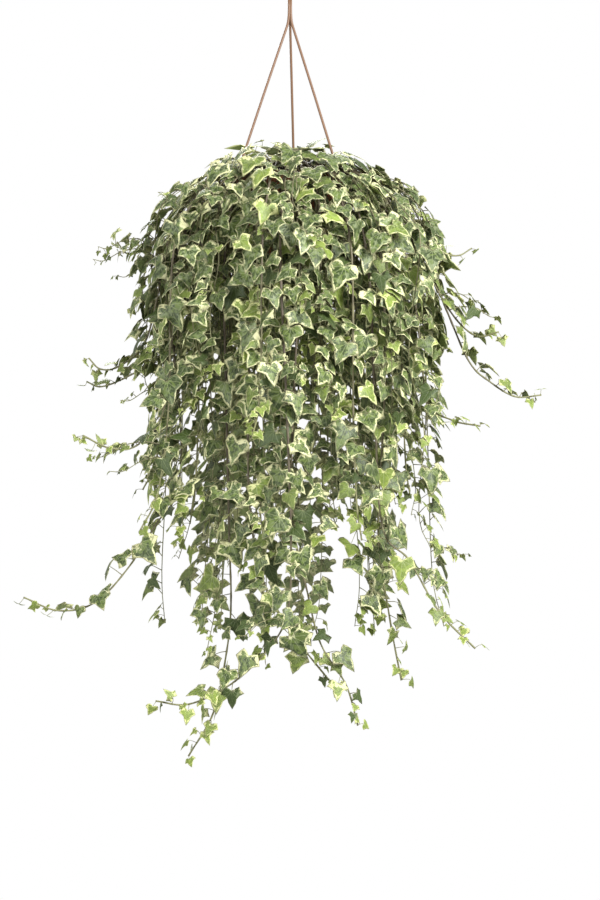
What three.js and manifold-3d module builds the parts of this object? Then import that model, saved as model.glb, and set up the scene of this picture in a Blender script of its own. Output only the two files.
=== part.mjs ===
// A hanging pot of variegated English ivy, in millimetres, +Z up.
// The origin is the point that hangs: the top inside of the hook's bend. The front of the plant looks along -Y.
// Each leafy stem is one solid, grown as the real one is: a thin stem, petioles on alternate sides, lobed blades.
import * as THREE from "three";
import { mergeVertices } from "three/addons/utils/BufferGeometryUtils.js";
import Module from "manifold-3d";

const wasm = await Module();
wasm.setup();

// The pot, a 15 cm plastic hanging pot
const RIM_Z = -290;
const RIM_R = 76;
const BASE_R = 53;
const POT_HEIGHT = 120;
const BAND_HEIGHT = 16;
const WALL = 2;
const FLOOR = 3;
const FOOT = 3;
const POT_SIDES = 24;
const DRAIN_R = 4;
const DRAIN_RING_R = 33;
const DRAINS = 4;

// The soil
const SOIL_Z = RIM_Z - 14;
const SOIL_GAP = 0.4;
const ROOT_DEPTH = 15;
const HOLE_GAP = 0.4;
const HOLE_DEPTH = 18;

// The hanger: one moulding of a hook, a collar and three strands that plug into lugs on the rim
const CLIP_R = 80;
const CLIP_AZIMUTHS = [86, 206, 326];
const LUG_WIDTH = 11;
const LUG_THICK = 3;
const LUG_TOP = RIM_Z - 4;
const LUG_HOLE_R = 2.3;
const STRAND_R = 1.4;
const BUNDLE_R = 1.45;
const BUNDLE_END = -80;
const COLLAR_TOP = -37;
const COLLAR_BOTTOM = -46;
const HOOK_R = 2.2;
const HOOK_BEND = 10;

// The ivy
const STEM_R = 1.7;
const STEM_TIP_R = 1;
const STEM_SIDES = 3;
const STEM_STRAY = 1.6;
const OVER_RIM_R = 84;
const CURVE_STEPS = 8;
const PETIOLE_R = 0.8;
const PETIOLE_ROOT_R = 0.45;
const LEAF_LONG = 38;
const LEAF_SPACING = 53;
const INNER_SPACING = 31;
const LEAF_START = 8;
const TIP_LENGTH = 150;
const TIP_SCALE = 0.4;
const LEAF_TRIES = 14;
const CLEAR = 0.5;
const STEM_CLEAR = 1;
const STEM_TRIES = 25;
const STEM_TURN = 1.4;
const POT_KEEP_R = 89;
const POT_KEEP_Z = RIM_Z + 5;

// One half of a blade's outline, from the basal lobe to the tip: across and along the midrib, for a length of 1
const LOBES = [
  [0.36, -0.17],
  [0.58, 0.22],
  [0.26, 0.45],
  [0, 1],
];
const ARCH_ACROSS = 0.32;
const ARCH_ALONG = 0.12;

const FLATNESS = 0.01;
const UP = new THREE.Vector3(0, 0, 1);
const radians = THREE.MathUtils.degToRad;
const mix = THREE.MathUtils.lerp;

// A draw from 0 to 1 that depends only on its whole-number keys.
function draw(...keys) {
  let h = 2166136261;
  for (const key of keys) {
    h = Math.imul(h ^ key, 16777619);
    h ^= h >>> 13;
    h = Math.imul(h, 1540483477);
    h ^= h >>> 15;
  }
  return (h >>> 0) / 4294967296;
}

function between(low, high, ...keys) {
  return mix(low, high, draw(...keys));
}

function vec(x, y, z) {
  return new THREE.Vector3(x, y, z);
}

// A point at a radius and height, on a bearing in degrees from +X, moved sideways by a distance.
function polar(radius, z, bearing, side = 0) {
  const a = radians(bearing);
  return vec(radius * Math.cos(a) - side * Math.sin(a), radius * Math.sin(a) + side * Math.cos(a), z);
}

// Solids from geometries
function solid(geometry) {
  geometry.deleteAttribute("normal");
  geometry.deleteAttribute("uv");
  const merged = mergeVertices(geometry, 1e-4);
  return new wasm.Manifold(
    new wasm.Mesh({
      numProp: 3,
      vertProperties: merged.attributes.position.array,
      triVerts: new Uint32Array(merged.index.array),
    }),
  );
}

// Solids joined into one, without the needless points that joins leave on flat faces.
function fused(solids) {
  return wasm.Manifold.union(solids).asOriginal().simplify(FLATNESS);
}

function geometryOf(manifold) {
  const mesh = manifold.getMesh();
  const geometry = new THREE.BufferGeometry();
  geometry.setAttribute("position", new THREE.BufferAttribute(mesh.vertProperties, 3));
  geometry.setIndex(new THREE.BufferAttribute(mesh.triVerts, 1));
  return geometry;
}

function facesSolid(points, faces) {
  const geometry = new THREE.BufferGeometry();
  geometry.setAttribute(
    "position",
    new THREE.Float32BufferAttribute(
      points.flatMap((p) => p.toArray()),
      3,
    ),
  );
  geometry.setIndex(faces.flat());
  return solid(geometry);
}

function latheSolid(profile, sides, z) {
  const geometry = new THREE.LatheGeometry(
    profile.map(([r, h]) => new THREE.Vector2(r, h)),
    sides,
  );
  geometry.rotateX(Math.PI / 2).translate(0, 0, z);
  return solid(geometry);
}

function uprightCylinder(radiusTop, radiusBottom, top, bottom, sides, at) {
  const geometry = new THREE.CylinderGeometry(radiusTop, radiusBottom, top - bottom, sides);
  geometry.rotateX(Math.PI / 2).translate(at.x, at.y, (top + bottom) / 2);
  return solid(geometry);
}

// A closed tube through points, with a radius at each. Its section starts with one corner square to a sideways
// direction, and turns with the tube.
function tubeSolid(points, radii, sides, sideways) {
  let b = sideways.clone();
  const rings = points.map((p, i) => {
    const along = points[Math.min(i + 1, points.length - 1)].clone().sub(points[Math.max(i - 1, 0)]);
    along.normalize();
    b = b.clone().addScaledVector(along, -b.dot(along)).normalize();
    const a = b.clone().cross(along);
    return Array.from({ length: sides }, (_, k) => {
      const turn = (2 * Math.PI * k) / sides;
      return p
        .clone()
        .addScaledVector(a, radii[i] * Math.cos(turn))
        .addScaledVector(b, radii[i] * Math.sin(turn));
    });
  });
  const faces = [];
  for (let i = 0; i + 1 < rings.length; i++) {
    for (let k = 0; k < sides; k++) {
      const low = i * sides + k;
      const low2 = i * sides + ((k + 1) % sides);
      faces.push([low, low2, low2 + sides], [low, low2 + sides, low + sides]);
    }
  }
  const last = (rings.length - 1) * sides;
  for (let k = 1; k + 1 < sides; k++) faces.push([0, k + 1, k], [last, last + k, last + k + 1]);
  return facesSolid(rings.flat(), faces);
}

// The pot
function innerRadius(z) {
  const share = (RIM_Z - BAND_HEIGHT - z) / (POT_HEIGHT - BAND_HEIGHT);
  return mix(RIM_R - 5.5, BASE_R, share) - WALL;
}

function potSolid() {
  const bottom = -POT_HEIGHT;
  const inside = bottom + FOOT + FLOOR;
  const profile = [
    [0, bottom + FOOT],
    [BASE_R - 7, bottom + FOOT],
    [BASE_R - 6, bottom],
    [BASE_R, bottom],
    [RIM_R - 5.5, -BAND_HEIGHT],
    [RIM_R - 1, -BAND_HEIGHT],
    [RIM_R, 0],
    [RIM_R - 3, 0],
    [RIM_R - 3.6, -BAND_HEIGHT + 2],
    [innerRadius(RIM_Z - BAND_HEIGHT - 1), -BAND_HEIGHT - 1],
    [innerRadius(RIM_Z + inside), inside],
    [0, inside],
  ];
  let pot = latheSolid(profile, POT_SIDES, RIM_Z);
  for (const bearing of CLIP_AZIMUTHS) {
    const lug = new THREE.BoxGeometry(12, LUG_WIDTH, LUG_THICK);
    lug.translate(CLIP_R, 0, LUG_TOP - LUG_THICK / 2).rotateZ(radians(bearing));
    pot = pot.add(solid(lug));
  }
  for (const bearing of CLIP_AZIMUTHS) {
    const at = polar(CLIP_R, 0, bearing);
    pot = pot.subtract(uprightCylinder(LUG_HOLE_R, LUG_HOLE_R, LUG_TOP + 1, LUG_TOP - LUG_THICK - 1, 8, at));
  }
  for (let i = 0; i < DRAINS; i++) {
    const at = polar(DRAIN_RING_R, 0, (360 * i) / DRAINS + 18);
    const floor = RIM_Z - POT_HEIGHT;
    pot = pot.subtract(uprightCylinder(DRAIN_R, DRAIN_R, floor + FOOT + FLOOR + 1, floor + FOOT - 1, 8, at));
  }
  return fused([pot]);
}

function soilSolid(trails) {
  const bottom = RIM_Z - POT_HEIGHT + FOOT + FLOOR + SOIL_GAP;
  const profile = [
    [0, bottom],
    [innerRadius(bottom) - SOIL_GAP, bottom],
    [innerRadius(SOIL_Z) - SOIL_GAP, SOIL_Z],
    [0, SOIL_Z],
  ];
  const soil = latheSolid(profile, POT_SIDES, 0);
  const top = SOIL_Z + 2;
  const holes = trails.map((t) => {
    const ends = [SOIL_Z - HOLE_DEPTH, top].map((z) => vec(t.root.x, t.root.y, z));
    const radius = STEM_R + 2 * HOLE_GAP;
    return tubeSolid(ends, [radius, radius], STEM_SIDES, stemSideways(t));
  });
  return fused([soil.subtract(fused(holes))]);
}

// The hanger
function hangerSolid() {
  const centre = HOOK_R - HOOK_BEND;
  const neck = [
    [0, COLLAR_TOP - 4],
    [0, COLLAR_TOP + 6],
    [-5.5, centre - 12.5],
    [-9.3, centre - 6],
  ];
  const bend = [];
  for (let turn = 180; turn >= -20; turn -= 25) {
    bend.push([HOOK_BEND * Math.cos(radians(turn)), centre + HOOK_BEND * Math.sin(radians(turn))]);
  }
  const tip = [[11.5, centre - 8.5]];
  const path = new THREE.CatmullRomCurve3([...neck, ...bend, ...tip].map(([x, z]) => vec(x, 0, z)));
  const points = path.getSpacedPoints(15);
  const hook = tubeSolid(
    points,
    points.map(() => HOOK_R),
    6,
    vec(0, 1, 0),
  );
  const collar = uprightCylinder(3.9, 5.2, COLLAR_TOP, COLLAR_BOTTOM, 10, vec(0, 0, 0));
  const strands = CLIP_AZIMUTHS.flatMap((bearing) => {
    const route = strandRoute(bearing);
    const plugTop = LUG_TOP - LUG_THICK - 0.6;
    return [
      tubeSolid(
        route,
        route.map(() => STRAND_R),
        6,
        polar(1, 0, bearing, 1).normalize(),
      ),
      uprightCylinder(3.2, 1.3, plugTop, plugTop - 5, 8, polar(CLIP_R, 0, bearing)),
    ];
  });
  return fused([hook, collar, ...strands]);
}

function strandRoute(bearing) {
  return [
    [BUNDLE_R, COLLAR_BOTTOM + 3],
    [BUNDLE_R, BUNDLE_END + 14],
    [BUNDLE_R + 1.2, BUNDLE_END],
    [mix(BUNDLE_R, CLIP_R, 0.5), mix(BUNDLE_END, LUG_TOP + 10, 0.5)],
    [CLIP_R - 2, LUG_TOP + 10],
    [CLIP_R, LUG_TOP + 3],
    [CLIP_R, LUG_TOP - LUG_THICK - 2],
  ].map(([r, z]) => polar(r, z, bearing));
}

// The routes of the leafy stems
// A stem of the mound: it leaves the soil upright, leans over the rim and hangs from a given reach.
function moundRoute({ bearing, root, crest, reach, fall, drop, sway = 0, curl = 0 }) {
  const low = RIM_Z - fall;
  const end = RIM_Z - drop;
  return [
    [root, SOIL_Z - ROOT_DEPTH, 0],
    [root, SOIL_Z + 8, 0],
    [mix(root, OVER_RIM_R, 0.5), RIM_Z + crest, 0],
    [mix(OVER_RIM_R, reach, 0.42), RIM_Z + crest * 0.3 - 0.12 * fall, sway * 0.15],
    [mix(OVER_RIM_R, reach, 0.85), RIM_Z - 0.5 * fall, sway * 0.4],
    [reach, low, sway * 0.7],
    [reach + curl * 0.1, mix(low, end, 0.5), sway],
    [reach + curl * 0.45, mix(low, end, 0.85), sway],
    [reach + curl, end, sway * 0.9],
  ].map(([r, z, side]) => polar(r, z, bearing, side));
}

// The start of a long stem that leaves the mound: it leans over the rim on a bearing, then follows its own points.
function trailRoute({ bearing, root, crest, tail }) {
  const start = [
    [root, SOIL_Z - ROOT_DEPTH],
    [root, SOIL_Z + 8],
    [mix(root, OVER_RIM_R, 0.5), RIM_Z + crest],
  ].map(([r, z]) => polar(r, z, bearing));
  return [...start, ...tail.map(([x, y, z]) => vec(x, y, z))];
}

// Long stems, as the plant carries them. Each tail is a list of x, y, z in millimetres.
const TRAILS = [
  {
    name: "left_low",
    bearing: 189,
    root: 56,
    crest: 12,
    tail: [
      [-124, -30, -318],
      [-158, -44, -400],
      [-160, -54, -530],
      [-150, -62, -660],
      [-157, -68, -735],
      [-184, -80, -775],
      [-220, -98, -832],
      [-264, -118, -878],
      [-312, -138, -887],
      [-357, -154, -867],
    ],
  },
  {
    name: "left_arc_low",
    bearing: 173,
    root: 54,
    crest: 12,
    tail: [
      [-128, 14, -325],
      [-160, 20, -400],
      [-168, 26, -470],
      [-199, 36, -549],
      [-232, 48, -574],
      [-271, 60, -589],
      [-293, 66, -582],
    ],
  },
  {
    name: "left_arc_high",
    bearing: 182,
    root: 38,
    crest: 16,
    tail: [
      [-128, -12, -312],
      [-168, -22, -380],
      [-186, -28, -470],
      [-204, -34, -530],
      [-238, -46, -559],
      [-262, -56, -562],
      [-277, -62, -547],
    ],
  },
  {
    name: "left_arc_mid",
    bearing: 195,
    root: 40,
    crest: 12,
    tail: [
      [-118, -44, -316],
      [-148, -82, -400],
      [-160, -96, -520],
      [-172, -108, -620],
      [-206, -132, -664],
      [-240, -160, -666],
      [-273, -186, -648],
    ],
  },
  {
    name: "left_top",
    bearing: 166,
    root: 34,
    crest: 16,
    tail: [
      [-124, 34, -306],
      [-170, 56, -352],
      [-205, 76, -388],
      [-234, 96, -398],
      [-252, 108, -380],
    ],
  },
  {
    name: "right_top",
    bearing: 11,
    root: 36,
    crest: 16,
    tail: [
      [126, 28, -306],
      [166, 42, -356],
      [194, 56, -390],
      [238, 78, -401],
      [262, 90, -390],
    ],
  },
  {
    name: "right_arc_high",
    bearing: 351,
    root: 54,
    crest: 12,
    tail: [
      [132, -24, -324],
      [178, -36, -400],
      [205, -46, -455],
      [232, -60, -497],
      [258, -74, -517],
      [285, -88, -511],
    ],
  },
  {
    name: "right_arc_mid",
    bearing: 0,
    root: 40,
    crest: 14,
    tail: [
      [134, 2, -316],
      [186, 8, -400],
      [220, 14, -478],
      [254, 24, -553],
      [285, 34, -582],
      [322, 46, -603],
      [360, 56, -601],
    ],
  },
  {
    name: "right_arc_low",
    bearing: 341,
    root: 38,
    crest: 12,
    tail: [
      [116, -46, -318],
      [160, -74, -410],
      [176, -88, -510],
      [188, -100, -606],
      [219, -124, -630],
      [255, -150, -637],
    ],
  },
  {
    name: "right_low",
    bearing: 311,
    root: 40,
    crest: 12,
    tail: [
      [84, -100, -324],
      [106, -136, -430],
      [114, -146, -600],
      [124, -150, -770],
      [160, -164, -816],
      [200, -178, -884],
      [246, -196, -930],
    ],
  },
  {
    name: "right_long",
    bearing: 319,
    root: 56,
    crest: 10,
    tail: [
      [96, -86, -322],
      [124, -114, -420],
      [128, -120, -600],
      [120, -120, -780],
      [136, -120, -900],
      [152, -118, -985],
    ],
  },
  {
    name: "sweep_left",
    bearing: 266,
    root: 40,
    crest: 12,
    tail: [
      [-8, -128, -318],
      [-12, -182, -410],
      [-4, -196, -600],
      [2, -194, -780],
      [-2, -190, -880],
      [-28, -188, -932],
      [-79, -186, -980],
      [-134, -186, -1006],
      [-178, -190, -1001],
    ],
  },
  {
    name: "drop_left",
    bearing: 229,
    root: 54,
    crest: 12,
    tail: [
      [-74, -84, -318],
      [-88, -108, -420],
      [-86, -116, -600],
      [-82, -116, -790],
      [-80, -114, -880],
      [-86, -112, -946],
      [-104, -108, -1030],
      [-139, -104, -1092],
    ],
  },
  {
    name: "drop_middle",
    bearing: 281,
    root: 56,
    crest: 10,
    tail: [
      [20, -126, -322],
      [14, -160, -430],
      [4, -166, -640],
      [4, -164, -760],
      [24, -160, -860],
      [42, -156, -930],
      [76, -150, -986],
      [92, -146, -1042],
    ],
  },
  {
    name: "drop_inner",
    bearing: 254,
    root: 56,
    crest: 10,
    tail: [
      [-40, -118, -322],
      [-52, -142, -430],
      [-56, -148, -640],
      [-52, -146, -760],
      [-34, -142, -850],
      [8, -134, -924],
      [60, -124, -992],
    ],
  },
];

// The mound in layers: how many stems, their first bearing and the step to the next, and ranges for each size.
const LAYERS = [
  {
    name: "outer",
    count: 18,
    first: 16,
    step: 20,
    roots: [48, 60],
    crest: [8, 14],
    reach: [176, 204],
    fall: [135, 165],
    drop: [330, 520],
    sway: 14,
    curl: 60,
    skip: [0, 8, 9, 11, 13, 15, 16, 17],
  },
  {
    name: "middle",
    count: 18,
    first: 5,
    step: 20,
    roots: [26, 34],
    crest: [11, 16],
    reach: [140, 164],
    fall: [100, 125],
    drop: [200, 360],
    sway: 10,
    curl: 24,
    skip: [4, 10, 16, 8, 9, 17, 7, 12],
  },
  {
    name: "inner",
    count: 8,
    first: 14,
    step: 45,
    roots: [44, 52],
    crest: [7, 10],
    reach: [108, 118],
    fall: [60, 80],
    drop: [130, 210],
    spacing: INNER_SPACING,
    sway: 4,
    curl: 8,
    skip: [],
  },
];

// Short stems that stand up in the middle of the pot.
const TUFTS = [
  { bearing: 140, root: 10, height: 40, lean: 42 },
  { bearing: 250, root: 14, height: 26, lean: 34 },
  { bearing: 20, root: 14, height: 30, lean: 40 },
  { bearing: 75, root: 22, height: 34, lean: 34 },
  { bearing: 205, root: 24, height: 30, lean: 30 },
];

function tuftRoute({ bearing, root, height, lean }) {
  return [
    [root, SOIL_Z - ROOT_DEPTH],
    [root, SOIL_Z + 10],
    [root + lean * 0.15, RIM_Z + height * 0.45],
    [root + lean * 0.5, RIM_Z + height * 0.85],
    [root + lean, RIM_Z + height],
  ].map(([r, z]) => polar(r, z, bearing));
}

// Every stem: first the long ones, then each of the mound, turned little by little until it clears the others.
function allTrails() {
  const found = [];
  const hung = hangerRods();
  const add = (name, route, spacing = LEAF_SPACING) => {
    const trail = { name, spacing, index: found.length, ...walked(route) };
    trail.rods = stemRods(trail);
    const clear = rodsClear(trail.rods, hung) && found.every((other) => rodsClear(trail.rods, other.rods));
    if (clear) found.push(trail);
    return clear;
  };
  for (const t of TRAILS) {
    if (!add(t.name, trailRoute(t))) throw new Error(t.name + " crosses another stem");
  }
  LAYERS.forEach((layer, l) => {
    for (let i = 0; i < layer.count; i++) {
      if (layer.skip.includes(i)) continue;
      const pick = (range, key) => between(...range, l, i, key);
      const name = layer.name + "_" + String(i + 1).padStart(2, "0");
      for (let attempt = 0; attempt < STEM_TRIES; attempt++) {
        const turn = (attempt % 2 ? 1 : -1) * Math.ceil(attempt / 2) * STEM_TURN;
        const route = moundRoute({
          bearing: layer.first + layer.step * i + turn,
          root: pick(layer.roots, 1),
          crest: pick(layer.crest, 2),
          reach: pick(layer.reach, 3),
          fall: pick(layer.fall, 4),
          drop: pick(layer.drop, 5),
          sway: pick([-layer.sway, layer.sway], 6),
          curl: pick([0, layer.curl], 7),
        });
        if (add(name, route, layer.spacing)) break;
      }
    }
  });
  TUFTS.forEach((tuft, i) => add("tuft_" + (i + 1), tuftRoute(tuft)));
  return found;
}

function stemRods(trail) {
  return trail.line.slice(1).map((p, i) => rodShape(trail.line[i], p, stemRadius(trail, trail.lengths[i])));
}

// The hanger's strands, and the lugs on the rim with the plugs below them.
function hangerRods() {
  return CLIP_AZIMUTHS.flatMap((bearing) => {
    const route = strandRoute(bearing);
    const strand = route.slice(1).map((p, i) => rodShape(route[i], p, STRAND_R));
    const middle = LUG_TOP - LUG_THICK / 2;
    return [...strand, rodShape(polar(RIM_R, middle, bearing), polar(CLIP_R + 2, middle, bearing), LUG_WIDTH / 2 + 1)];
  });
}

function rodsClear(some, others) {
  return some.every((a) => others.every((b) => clearOf(a, b, STEM_CLEAR)));
}

// A route as a line of points: those of a smooth curve, without the ones that a straight step between others passes
// close by, so that the stem's tube has a ring only where it bends.
function walked(route) {
  const curve = new THREE.CatmullRomCurve3(route, false, "catmullrom", 0.5);
  const spans = CURVE_STEPS * (route.length - 1);
  const fine = Array.from({ length: spans + 1 }, (_, i) => curve.getPoint(i / spans));
  const line = [fine[0], route[1]];
  let last = CURVE_STEPS;
  for (let i = last + 2; i <= spans; i++) {
    const chord = new THREE.Line3(fine[last], fine[i]);
    const passed = fine.slice(last + 1, i);
    const strays = passed.map((p) => chord.closestPointToPoint(p, true, vec(0, 0, 0)).distanceTo(p));
    if (Math.max(...strays) < STEM_STRAY) continue;
    last = i - 1;
    line.push(fine[last]);
  }
  line.push(fine[spans]);
  const lengths = [0];
  for (let i = 1; i < line.length; i++) lengths.push(lengths[i - 1] + line[i].distanceTo(line[i - 1]));
  return { line, lengths, length: lengths.at(-1), root: route[0] };
}

function pointAt(trail, s) {
  const { line, lengths } = trail;
  let i = 1;
  while (i < line.length - 1 && lengths[i] < s) i++;
  const share = (s - lengths[i - 1]) / (lengths[i] - lengths[i - 1]);
  return {
    at: line[i - 1].clone().lerp(line[i], share),
    along: line[i].clone().sub(line[i - 1]).normalize(),
  };
}

function stemRadius(trail, s) {
  return mix(STEM_R, STEM_TIP_R, s / trail.length);
}

// Where two closed shapes are clear of each other: each is given by points that it lies among, its own directions
// and a radius. A gap along any one direction is enough.
function spanOf(shape, axis) {
  let low = Infinity;
  let high = -Infinity;
  for (const p of shape.points) {
    const d = p.x * axis.x + p.y * axis.y + p.z * axis.z;
    if (d < low) low = d;
    if (d > high) high = d;
  }
  return [low - shape.radius, high + shape.radius];
}

function gapAlong(a, b, axis) {
  const length = axis.length();
  if (length < 1e-6) return -Infinity;
  axis.divideScalar(length);
  const [lowA, highA] = spanOf(a, axis);
  const [lowB, highB] = spanOf(b, axis);
  return Math.max(lowB - highA, lowA - highB);
}

function clearOf(a, b, gap) {
  const apart = b.centre.clone().sub(a.centre);
  if (apart.length() > a.bound + b.bound + gap) return true;
  if (gapAlong(a, b, apart) > gap) return true;
  for (const axis of [...a.axes, ...b.axes]) if (gapAlong(a, b, axis.clone()) > gap) return true;
  for (const p of a.axes) for (const q of b.axes) if (gapAlong(a, b, p.clone().cross(q)) > gap) return true;
  return false;
}

function shapeOf(points, axes, radius) {
  const centre = vec(0, 0, 0);
  for (const p of points) centre.add(p);
  centre.divideScalar(points.length);
  const bound = Math.max(...points.map((p) => p.distanceTo(centre))) + radius;
  return { points, axes, radius, centre, bound };
}

function rodShape(a, b, radius) {
  const along = b.clone().sub(a).normalize();
  const other = Math.abs(along.z) < 0.9 ? UP : vec(1, 0, 0);
  const side = along.clone().cross(other).normalize();
  return shapeOf([a, b], [side, side.clone().cross(along)], radius);
}

// One leaf: where its petiole leaves the stem, where the blade starts, and the blade's own axes.
function leafOutline({ joint, across, along, normal, long }) {
  const place = (u, v) =>
    joint
      .clone()
      .addScaledVector(across, u * long)
      .addScaledVector(along, v * long)
      .addScaledVector(normal, -long * (ARCH_ACROSS * u * u + ARCH_ALONG * v * v));
  const right = LOBES.map(([u, v]) => place(u, v));
  const left = LOBES.slice(0, -1).map(([u, v]) => place(-u, v));
  return [...right, ...left.reverse()];
}

// Three points round a petiole, all square to one direction: two level with the blade's upper face, one under it.
function petioleRing(leaf, centre, facing, r) {
  const side = leaf.across.clone().addScaledVector(facing, -leaf.across.dot(facing)).normalize();
  const lift = side.clone().cross(facing).normalize();
  if (lift.dot(leaf.normal) < 0) lift.negate();
  return [
    centre.clone().addScaledVector(side, -r).addScaledVector(lift, r * 0.6),
    centre.clone().addScaledVector(side, r).addScaledVector(lift, r * 0.6),
    centre.clone().addScaledVector(lift, -r),
  ];
}

// A leaf's blade spreads from the end of its petiole: fans from the ring's two upper points and from the lower one.
function leafSolid(leaf) {
  const outline = leafOutline(leaf);
  const out = leaf.joint.clone().sub(leaf.from).normalize();
  const facing = out.addScaledVector(leaf.along, 0.6).normalize();
  const joint = petioleRing(leaf, leaf.joint, facing, PETIOLE_R);
  const root = petioleRing(leaf, leaf.from, facing, PETIOLE_ROOT_R);
  const count = outline.length;
  const tip = LOBES.length - 1;
  const [left, right, low, rootLeft, rootRight, rootLow] = [0, 1, 2, 3, 4, 5].map((i) => count + i);
  const faces = [
    [left, right, tip],
    [low, 0, right],
    [low, left, count - 1],
    [left, rootRight, right],
    [left, rootLeft, rootRight],
    [right, rootLow, low],
    [right, rootRight, rootLow],
    [low, rootLeft, left],
    [low, rootLow, rootLeft],
    [rootLeft, rootLow, rootRight],
  ];
  for (let i = 0; i + 1 < count; i++) {
    faces.push([i < tip ? right : left, i, i + 1], [low, i + 1, i]);
  }
  const points = [...outline, ...joint, ...root];
  const made = facesSolid(points, faces);
  return made.volume() > 0 ? made : facesSolid(points, faces.map(([a, b, c]) => [a, c, b]));
}

// The leaf that grows at a length along a stem, on one side. It faces away from the plant and tilts to its own side.
// On top of the mound its stalk holds it up over the stems. Later tries turn it and shrink it a little.
function leafAt(trail, k, s, side, attempt) {
  const { at, along: stem } = pointAt(trail, s);
  const keys = [trail.index, k, attempt];
  const radial = vec(at.x, at.y, 0);
  const away = radial.length() > 1 ? radial.normalize() : vec(1, 0, 0);
  const open = THREE.MathUtils.smoothstep(at.z, RIM_Z - 110, RIM_Z);
  const outward = away.multiplyScalar(mix(1, 0.25, open)).addScaledVector(UP, mix(0.25, 1, open));
  outward.addScaledVector(stem, -outward.dot(stem)).normalize();
  const sideways = stem.clone().cross(outward).multiplyScalar(side);
  const facing = outward
    .clone()
    .addScaledVector(sideways, between(0, mix(0.8, 0.3, open), ...keys, 1))
    .addScaledVector(stem, between(-0.4, 0.4, ...keys, 2) + 0.25 * open)
    .normalize();
  const stalk = sideways
    .clone()
    .multiplyScalar(mix(between(0.5, 1, ...keys, 3), between(-0.2, 0.7, ...keys, 3), open))
    .addScaledVector(outward, mix(between(0.25, 0.9, ...keys, 4), 1, open))
    .addScaledVector(stem, between(0, 0.5, ...keys, 5))
    .normalize();
  const shrink = 1 - 0.02 * attempt;
  const young = mix(TIP_SCALE, 1, tipShare(trail, trail.length - s));
  const long = LEAF_LONG * young * between(0.8, 1.08, ...keys, 6) * shrink;
  const joint = at.clone().addScaledVector(stalk, (6 + long * between(0.2, 0.5, ...keys, 7)) * shrink);
  const droop = stalk
    .addScaledVector(UP, -between(0.3, 1.1, ...keys, 8))
    .addScaledVector(sideways, between(-0.3, 0.3, ...keys, 9))
    .addScaledVector(stem, 0.5 * open);
  const along = droop.addScaledVector(facing, -droop.dot(facing)).normalize();
  const across = along.clone().cross(facing).normalize();
  return { from: at, joint, across, along, normal: facing, long };
}

function leafShapes(leaf) {
  const outline = leafOutline(leaf);
  const thick = leaf.normal.clone().multiplyScalar(PETIOLE_R);
  const heart = [leaf.joint.clone().add(thick), leaf.joint.clone().sub(thick)];
  const blade = shapeOf([...outline, ...heart], [leaf.normal, leaf.along, leaf.across], 0);
  const stalk = rodShape(leaf.from, leaf.joint, PETIOLE_R);
  return { blade, stalk };
}

// True where a leaf stays off the pot, the rim's lugs and the soil.
function offThePot(leaf) {
  const around = [...leafOutline(leaf), leaf.joint];
  return around.every((p, i) => {
    const next = around[(i + 1) % around.length];
    return [0, 0.5].every((share) => {
      const q = p.clone().lerp(next, share);
      return Math.hypot(q.x, q.y) > POT_KEEP_R || q.z > POT_KEEP_Z || q.z < RIM_Z - POT_HEIGHT - 3;
    });
  });
}

// The lengths along a stem at which leaves grow: from the tip back, closer together where the leaves are small.
function leafStations(trail) {
  const first = ROOT_DEPTH + RIM_Z - SOIL_Z + LEAF_START;
  const found = [];
  for (let d = 1; d < trail.length - first; ) {
    found.push(trail.length - d);
    d += trail.spacing * mix(TIP_SCALE, 1, tipShare(trail, d));
  }
  return found;
}

// How far towards full size the leaves are at a distance from the tip.
function tipShare(trail, distance) {
  return THREE.MathUtils.smoothstep(distance, 0, Math.min(TIP_LENGTH, trail.length * 0.45));
}

// Every leaf of every stem, each put where it touches nothing that is there already. The tips come first.
function growLeaves(trails) {
  const stems = trails.flatMap((t) => t.rods.map((shape) => ({ trail: t.index, shape })));
  const strands = hangerRods();
  const placed = [];
  const grown = trails.map(() => []);
  const stations = trails.flatMap((t) => leafStations(t).map((s, k) => ({ t, k, s })));
  stations.sort((a, b) => a.k - b.k || a.t.index - b.t.index);
  for (const { t, k, s } of stations) {
    for (let attempt = 0; attempt < LEAF_TRIES; attempt++) {
      const leaf = leafAt(t, k, s, k % 2 ? 1 : -1, attempt);
      if (!offThePot(leaf)) continue;
      const shapes = leafShapes(leaf);
      if (!isClear(shapes, t.index, strands, stems, placed)) continue;
      placed.push(shapes);
      grown[t.index].push(leaf);
      break;
    }
  }
  return grown;
}

function isClear({ blade, stalk }, own, strands, stems, placed) {
  const both = (other) => clearOf(blade, other, CLEAR) && clearOf(stalk, other, CLEAR);
  return (
    strands.every(both) &&
    stems.every(({ trail, shape }) => (trail === own ? clearOf(blade, shape, CLEAR) : both(shape))) &&
    placed.every((o) => both(o.blade) && both(o.stalk))
  );
}

function stemSideways(trail) {
  return vec(trail.root.x, trail.root.y, 0).normalize().cross(UP);
}

function stemSolid(trail) {
  const radii = trail.lengths.map((s) => stemRadius(trail, s));
  return tubeSolid(trail.line, radii, STEM_SIDES, stemSideways(trail));
}

// The object
const terracotta = new THREE.MeshStandardMaterial({ color: 0xa9623a, roughness: 0.45, metalness: 0 });
const earth = new THREE.MeshStandardMaterial({ color: 0x2c2019, roughness: 0.95, metalness: 0 });
const foliage = new THREE.MeshStandardMaterial({ color: 0x6f8a4b, roughness: 0.5, metalness: 0 });

function named(name, manifold, material) {
  const mesh = new THREE.Mesh(geometryOf(manifold), material);
  mesh.name = name;
  return mesh;
}

const trails = allTrails();
const leaves = growLeaves(trails);
const plant = new THREE.Group();
plant.add(named("hanger", hangerSolid(), terracotta));
plant.add(named("pot", potSolid(), terracotta));
plant.add(named("soil", soilSolid(trails), earth));
for (const t of trails) {
  const pieces = [stemSolid(t), ...leaves[t.index].map(leafSolid)];
  plant.add(named("stem_" + t.name, fused(pieces), foliage));
}

export default plant;
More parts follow.
